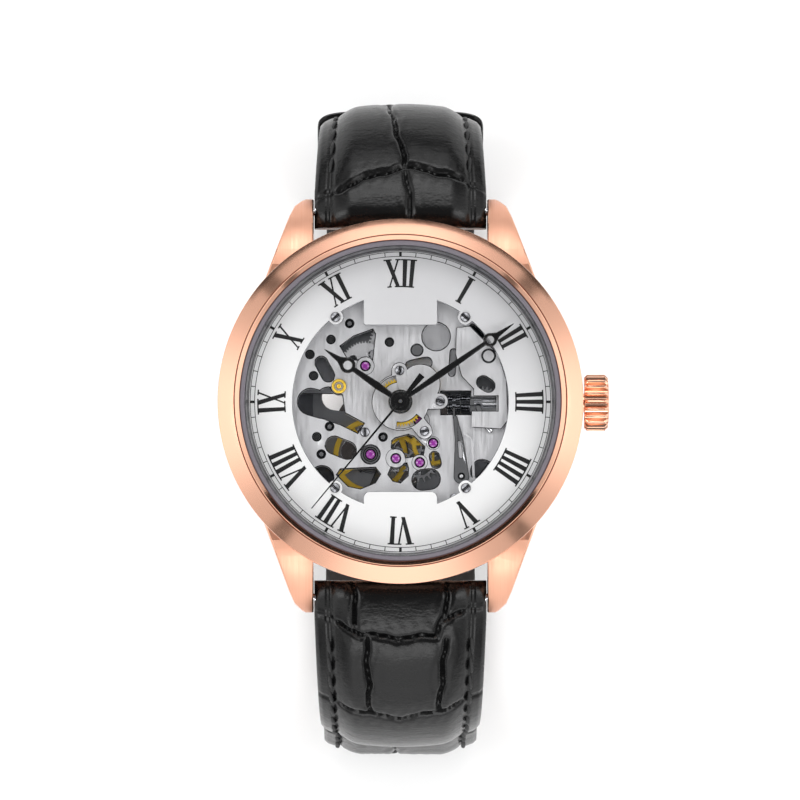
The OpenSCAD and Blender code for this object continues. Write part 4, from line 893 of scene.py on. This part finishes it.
def leatherKeeper(node, spec):
    half = halves["upper"]
    y, z, heading = strapPlace(half, spec["s"])
    width = strapForm(half, spec["s"])[0] + spec["side"]
    middle, tall = spec["room"] / 2 - spec["low"] + swayAt(half, spec["s"]), spec["room"] / 2
    steps, count = keeperSteps, len(bandProfile)
    vertices, faces = [], []
    for step in range(steps):
        angle = 2 * math.pi * step / steps
        for along, out in bandProfile:
            x = cornered(math.cos(angle)) * (width + out)
            up = middle + cornered(math.sin(angle)) * (tall + out)
            shift = along * spec["wide"]
            vertices.append(Vector((x, y + shift * math.cos(heading) - up * math.sin(heading),
                                    z + shift * math.sin(heading) + up * math.cos(heading))) * mm)
    for step in range(steps):
        a, b = step * count, (step + 1) % steps * count
        faces += [(a + i, b + i, b + (i + 1) % count, a + (i + 1) % count) for i in range(count)]
    keeper = addPiece(node + ".leather", vertices, faces, [leathers["glazedCalf"]], bodyOf[node], 50)
    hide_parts(node)


for node, spec in keeperSpecs.items():
    leatherKeeper(node, spec)
print("stitches and keepers made")

# printing on the dial, in mm: numerals are drawn upright and then bent round the axis with feet inwards
printSpec = {"thick": 0.5, "thin": 0.2, "serif": 0.16, "serifReach": 0.2, "inner": 13.2, "outer": 16.45,
             "strokeFrom": 0.04, "bendIn": 0.9, "lift": 0.012, "layer": 0.0004, "tracks": (16.74, 17.25),
             "trackWidth": 0.075, "markWidth": 0.09, "fiveWidth": 0.3, "markLift": 0.001, "arcSteps": 360}
letterWidths = {"I": 0.86, "V": 1.9, "X": 1.9}
numerals = ("XII", "I", "II", "III", "IIII", "V", "VI", "VII", "VIII", "IX", "X", "XI")
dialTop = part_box("dial")[1].z
numeralHeight = printSpec["outer"] - printSpec["inner"]


def serif(x, y, width):
    reach, thick = printSpec["serifReach"], printSpec["serif"]
    return [(x - width / 2 - reach, y), (x + width / 2 + reach, y), (x + width / 2 + reach, y + thick),
            (x - width / 2 - reach, y + thick)]


def slant(x0, x1, width):
    low, high = printSpec["strokeFrom"], numeralHeight - printSpec["strokeFrom"]
    return [(x0 - width / 2, low), (x0 + width / 2, low), (x1 + width / 2, high), (x1 - width / 2, high)]


# strokes of one letter about its own middle
def letterStrokes(letter):
    thick, thin, top = printSpec["thick"], printSpec["thin"], numeralHeight - printSpec["serif"]
    if letter == "I":
        return [slant(0, 0, thick), serif(0, 0, thick), serif(0, top, thick)]
    if letter == "V":
        return [slant(0.08, -0.6, thick), slant(0.02, 0.62, thin), serif(-0.6, top, thick),
                serif(0.62, top, thin)]
    return [slant(0.55, -0.55, thick), slant(-0.6, 0.6, thin), serif(-0.55, top, thick),
            serif(0.6, top, thin), serif(0.55, 0, thick), serif(-0.6, 0, thin)]


def numeralStrokes(text):
    total = sum(letterWidths[letter] for letter in text)
    start, strokes = -total / 2, []
    for letter in text:
        middle = start + letterWidths[letter] / 2
        strokes += [[(x + middle, y) for x, y in stroke] for stroke in letterStrokes(letter)]
        start += letterWidths[letter]
    return strokes


def dialPoint(angle, radius, lift):
    return Vector((radius * math.sin(angle) * mm, radius * math.cos(angle) * mm, dialTop + lift * mm))


def dialPrint():
    vertices, faces, spec = [], [], printSpec
    for hour, text in enumerate(numerals):
        for layer, stroke in enumerate(numeralStrokes(text)):
            first, lift = len(vertices), spec["lift"] + spec["layer"] * layer
            for x, y in stroke:
                angle = hour * math.pi / 6 + x / (spec["outer"] - spec["bendIn"])
                vertices.append(dialPoint(angle, spec["inner"] + y, lift))
            faces.append([first + i for i in range(len(stroke))])
    for track in spec["tracks"]:
        first, steps = len(vertices), spec["arcSteps"]
        for step in range(steps):
            for edge in (-0.5, 0.5):
                radius = track + edge * spec["trackWidth"]
                vertices.append(dialPoint(2 * math.pi * step / steps, radius, spec["lift"]))
        for step in range(steps):
            a, b = first + 2 * step, first + 2 * ((step + 1) % steps)
            faces.append((b, b + 1, a + 1, a))
    inner, outer = spec["tracks"]
    for minute in range(60):
        angle, wide = minute * math.pi / 30, spec["markWidth"] if minute % 5 else spec["fiveWidth"]
        first = len(vertices)
        for radius, side in ((inner, -1), (inner, 1), (outer, 1), (outer, -1)):
            edge = angle + side * wide / 2 / radius
            vertices.append(dialPoint(edge, radius, spec["lift"] + spec["markLift"]))
        faces.append([first + i for i in range(4)])
    return addPiece("dialPrinting", vertices, faces, [coats["printedInk"]], bodyOf["dial"])


# every printed face looks up
printing = dialPrint()
for face in printing.data.polygons:
    if face.normal.z < 0:
        face.flip()
print("dial printed")

# the floor keeps the shadow, and the world lights and is reflected
floorZ = min(v.co.z for piece in strapPieces.values() for v in piece.data.vertices) - 0.02 * mm
corners = [(-2, -2, floorZ), (2, -2, floorZ), (2, 2, floorZ), (-2, 2, floorZ)]
floorMesh = meshFrom("floor", corners, [(0, 1, 2, 3)])
floor = addObject("floor", floorMesh)
paper, paperTree = startMaterial("whitePaper")
paperSpot = grainScale(paperTree, (30, 30, 30))
paperCloud = addNode(paperTree, "TexNoise", {}, {"Vector": paperSpot, "Scale": 1})
paperTone = addNode(paperTree, "Mix", inColour, {
    "Factor": paperCloud, 6: toLinear("#ffffff"), 7: toLinear("#fbfbfb")})
finishMaterial(paperTree, {"Base Color": paperTone.outputs[2], "Roughness": 0.9})
floorMesh.materials.append(paper)

# the world by height: dark overhead, so that level black leather and lacquer stay black, a bright ring below
# that, and low down a band that is brightest towards 12, 3, 6 and 9 o'clock, with a thin dark line at each
# diagonal. A dark card stands low beyond 12. The bezel's leaning face mirrors the band, and at 6 o'clock its
# inner ring mirrors the card
worldSpec = {"dome": 1.3, "axis": 1.62, "diagonal": 0.78, "bandTop": 0.62, "bandFade": 0.15, "cardTop": 0.19,
             "cardSide": 0.6, "card": 0.02, "overhead": 0.2, "overheadFrom": 0.79, "overheadFade": 0.07,
             "gap": 0.28, "gapEdges": (-0.985, -0.96)}
world = bpy.data.worlds.new("studio")
bpy.context.scene.world = world
world.use_nodes = True
worldTree = world.node_tree
worldTree.nodes.clear()
way = addNode(worldTree, "TexCoord", {}, {})
east, north, height = addNode(worldTree, "SeparateXYZ", {}, {0: way.outputs["Generated"]}).outputs
bearing = addNode(worldTree, "Math", {"operation": "ARCTAN2"}, {0: north, 1: east})
fourfold = addNode(worldTree, "Math", {"operation": "MULTIPLY"}, {0: bearing, 1: 4.0})
crossing = addNode(worldTree, "Math", {"operation": "COSINE"}, {0: fourfold})
band = addNode(worldTree, "MapRange", smooth, {
    "Value": crossing, "From Min": -1.0, "From Max": 1.0,
    "To Min": worldSpec["diagonal"], "To Max": worldSpec["axis"]})
lifted = addNode(worldTree, "MapRange", smooth, {
    "Value": height, "From Min": worldSpec["bandTop"] - worldSpec["bandFade"],
    "From Max": worldSpec["bandTop"]})
gap = addNode(worldTree, "MapRange", smooth, {
    "Value": crossing, "From Min": worldSpec["gapEdges"][0], "From Max": worldSpec["gapEdges"][1],
    "To Min": worldSpec["gap"]})
gapped = addNode(worldTree, "Math", {"operation": "MULTIPLY"}, {0: band, 1: gap})
upper = addNode(worldTree, "MapRange", smooth, {
    "Value": height, "From Min": worldSpec["overheadFrom"],
    "From Max": worldSpec["overheadFrom"] + worldSpec["overheadFade"],
    "To Min": worldSpec["dome"], "To Max": worldSpec["overhead"]})
level = addNode(worldTree, "Mix", {"data_type": "FLOAT"}, {
    0: lifted, 2: gapped, 3: upper})
low = addNode(worldTree, "Math", {"operation": "LESS_THAN"}, {0: height, 1: worldSpec["cardTop"]})
beyond = addNode(worldTree, "Math", {"operation": "GREATER_THAN"}, {0: north, 1: worldSpec["cardSide"]})
card = addNode(worldTree, "Math", {"operation": "MULTIPLY"}, {0: low, 1: beyond})
carded = addNode(worldTree, "Mix", {"data_type": "FLOAT"}, {
    0: card, 2: level, 3: worldSpec["card"]})
path = addNode(worldTree, "LightPath", {}, {})
plain = addNode(worldTree, "Background", {}, {"Color": (1, 1, 1, 1), "Strength": 1})
lit = addNode(worldTree, "Background", {}, {"Color": (1, 1, 1, 1), "Strength": carded})
blend = addNode(worldTree, "MixShader", {}, {
    0: path.outputs["Is Camera Ray"], 1: lit, 2: plain})
addNode(worldTree, "OutputWorld", {}, {"Surface": blend})

# four soft boxes round the watch, far enough from overhead that level leather doesn't mirror them: turn from
# 12 o'clock and from overhead in degrees, size in metres, power in watts
lampAway = 0.8
lampSpecs = {
    "boxAtTwelve": {"turn": 0, "off": 47, "size": (0.5, 0.26), "power": 1.2},
    "boxAtSix": {"turn": 180, "off": 47, "size": (0.5, 0.26), "power": 1.2},
    "boxAtNine": {"turn": 270, "off": 45, "size": (0.26, 0.5), "power": 1.3},
    "boxAtThree": {"turn": 90, "off": 45, "size": (0.26, 0.5), "power": 1.1},
}
for name, spec in lampSpecs.items():
    lamp = bpy.data.lights.new(name, "AREA")
    lamp.shape = "RECTANGLE"
    lamp.size, lamp.size_y = spec["size"]
    lamp.energy = spec["power"]
    holder = addObject(name, lamp)
    turn, off = math.radians(spec["turn"]), math.radians(spec["off"])
    holder.location = lampAway * Vector((
        math.sin(turn) * math.sin(off), math.cos(turn) * math.sin(off), math.cos(off)))
    holder.rotation_euler = holder.location.to_track_quat("Z", "Y").to_euler()
bpy.context.scene.view_settings.view_transform = "Standard"
print("floor, world and lamps set")


# where in pixels each named thing shows, by finished vertices: a ring's edge or a stitch counts when it shows
# within this many pixels of its point
pointReach = {"ring": 9, "stitch": 8}


def pixelsOf(piece, kept=None):
    return [toPixels(v.co) for v in piece.data.vertices if kept is None or kept(v.co / mm)]


def edgePlace(piece, axis, pick, kept=None):
    edge = pick(p[axis] for p in pixelsOf(piece, kept))
    return (None, edge) if axis else (edge, None)


def middleOf(pixels):
    return [(min(p[i] for p in pixels) + max(p[i] for p in pixels)) / 2 for i in (0, 1)]


def ringMiddle(node, name):
    pixels = pixelsOf(finished[node])
    return middleOf([p for p in pixels if math.dist(p, imagePoints[name]) < pointReach["ring"]])


def stitchRow(side, name):
    y = imagePoints[name][1]
    pixels = pixelsOf(sewn[side], lambda place: place.x < 0 and place.z > -25)
    row = [p[0] for p in pixels if abs(p[1] - y) < pointReach["stitch"]]
    return [sum(row) / len(row), y]


def creasePlace(side, name):
    return toPixels(onPadding(halves[side], *strapSpot(name, side)))


shown = {
    "bezelLeft": edgePlace(finished["bezel"], 0, min),
    "bezelRight": edgePlace(finished["bezel"], 0, max),
    "bezelTop": edgePlace(finished["bezel"], 1, min),
    "bezelBottom": edgePlace(finished["bezel"], 1, max),
    "crownRight": edgePlace(finished["crown"], 0, max),
    "strapTop": edgePlace(strapPieces["upper"], 1, min, lambda place: place.z > -30),
    "strapBottom": edgePlace(strapPieces["lower"], 1, max),
    "handAxis": middleOf(pixelsOf(finished["seconds_hand"],
                                  lambda place: math.hypot(place.x, place.y) < 0.8)),
    "numeralTwelve": middleOf(pixelsOf(printing, lambda place: abs(place.x) < 1.8 and 12.8 < place.y < 16.4)),
    "minuteTrackTop": middleOf(pixelsOf(printing, lambda place: abs(place.x) < 0.1 and place.y > 16.5)),
    "hourRing": ringMiddle("hour_hand", "hourRing"),
    "minuteRing": ringMiddle("minute_hand", "minuteRing"),
    "stitchUpperLeft": stitchRow("upper", "stitchUpperLeft"),
    "stitchLowerLeft": stitchRow("lower", "stitchLowerLeft"),
    "balanceJewel": toPixels((balanceAt[0] * mm, balanceAt[1] * mm, (plateTop + 0.2) * mm)),
    "creaseUpperPeak": creasePlace("upper", "creaseUpperPeak"),
    "creaseLowerLeft": creasePlace("lower", "creaseLowerLeft"),
    "creaseLowerBase": creasePlace("lower", "creaseLowerBase"),
}
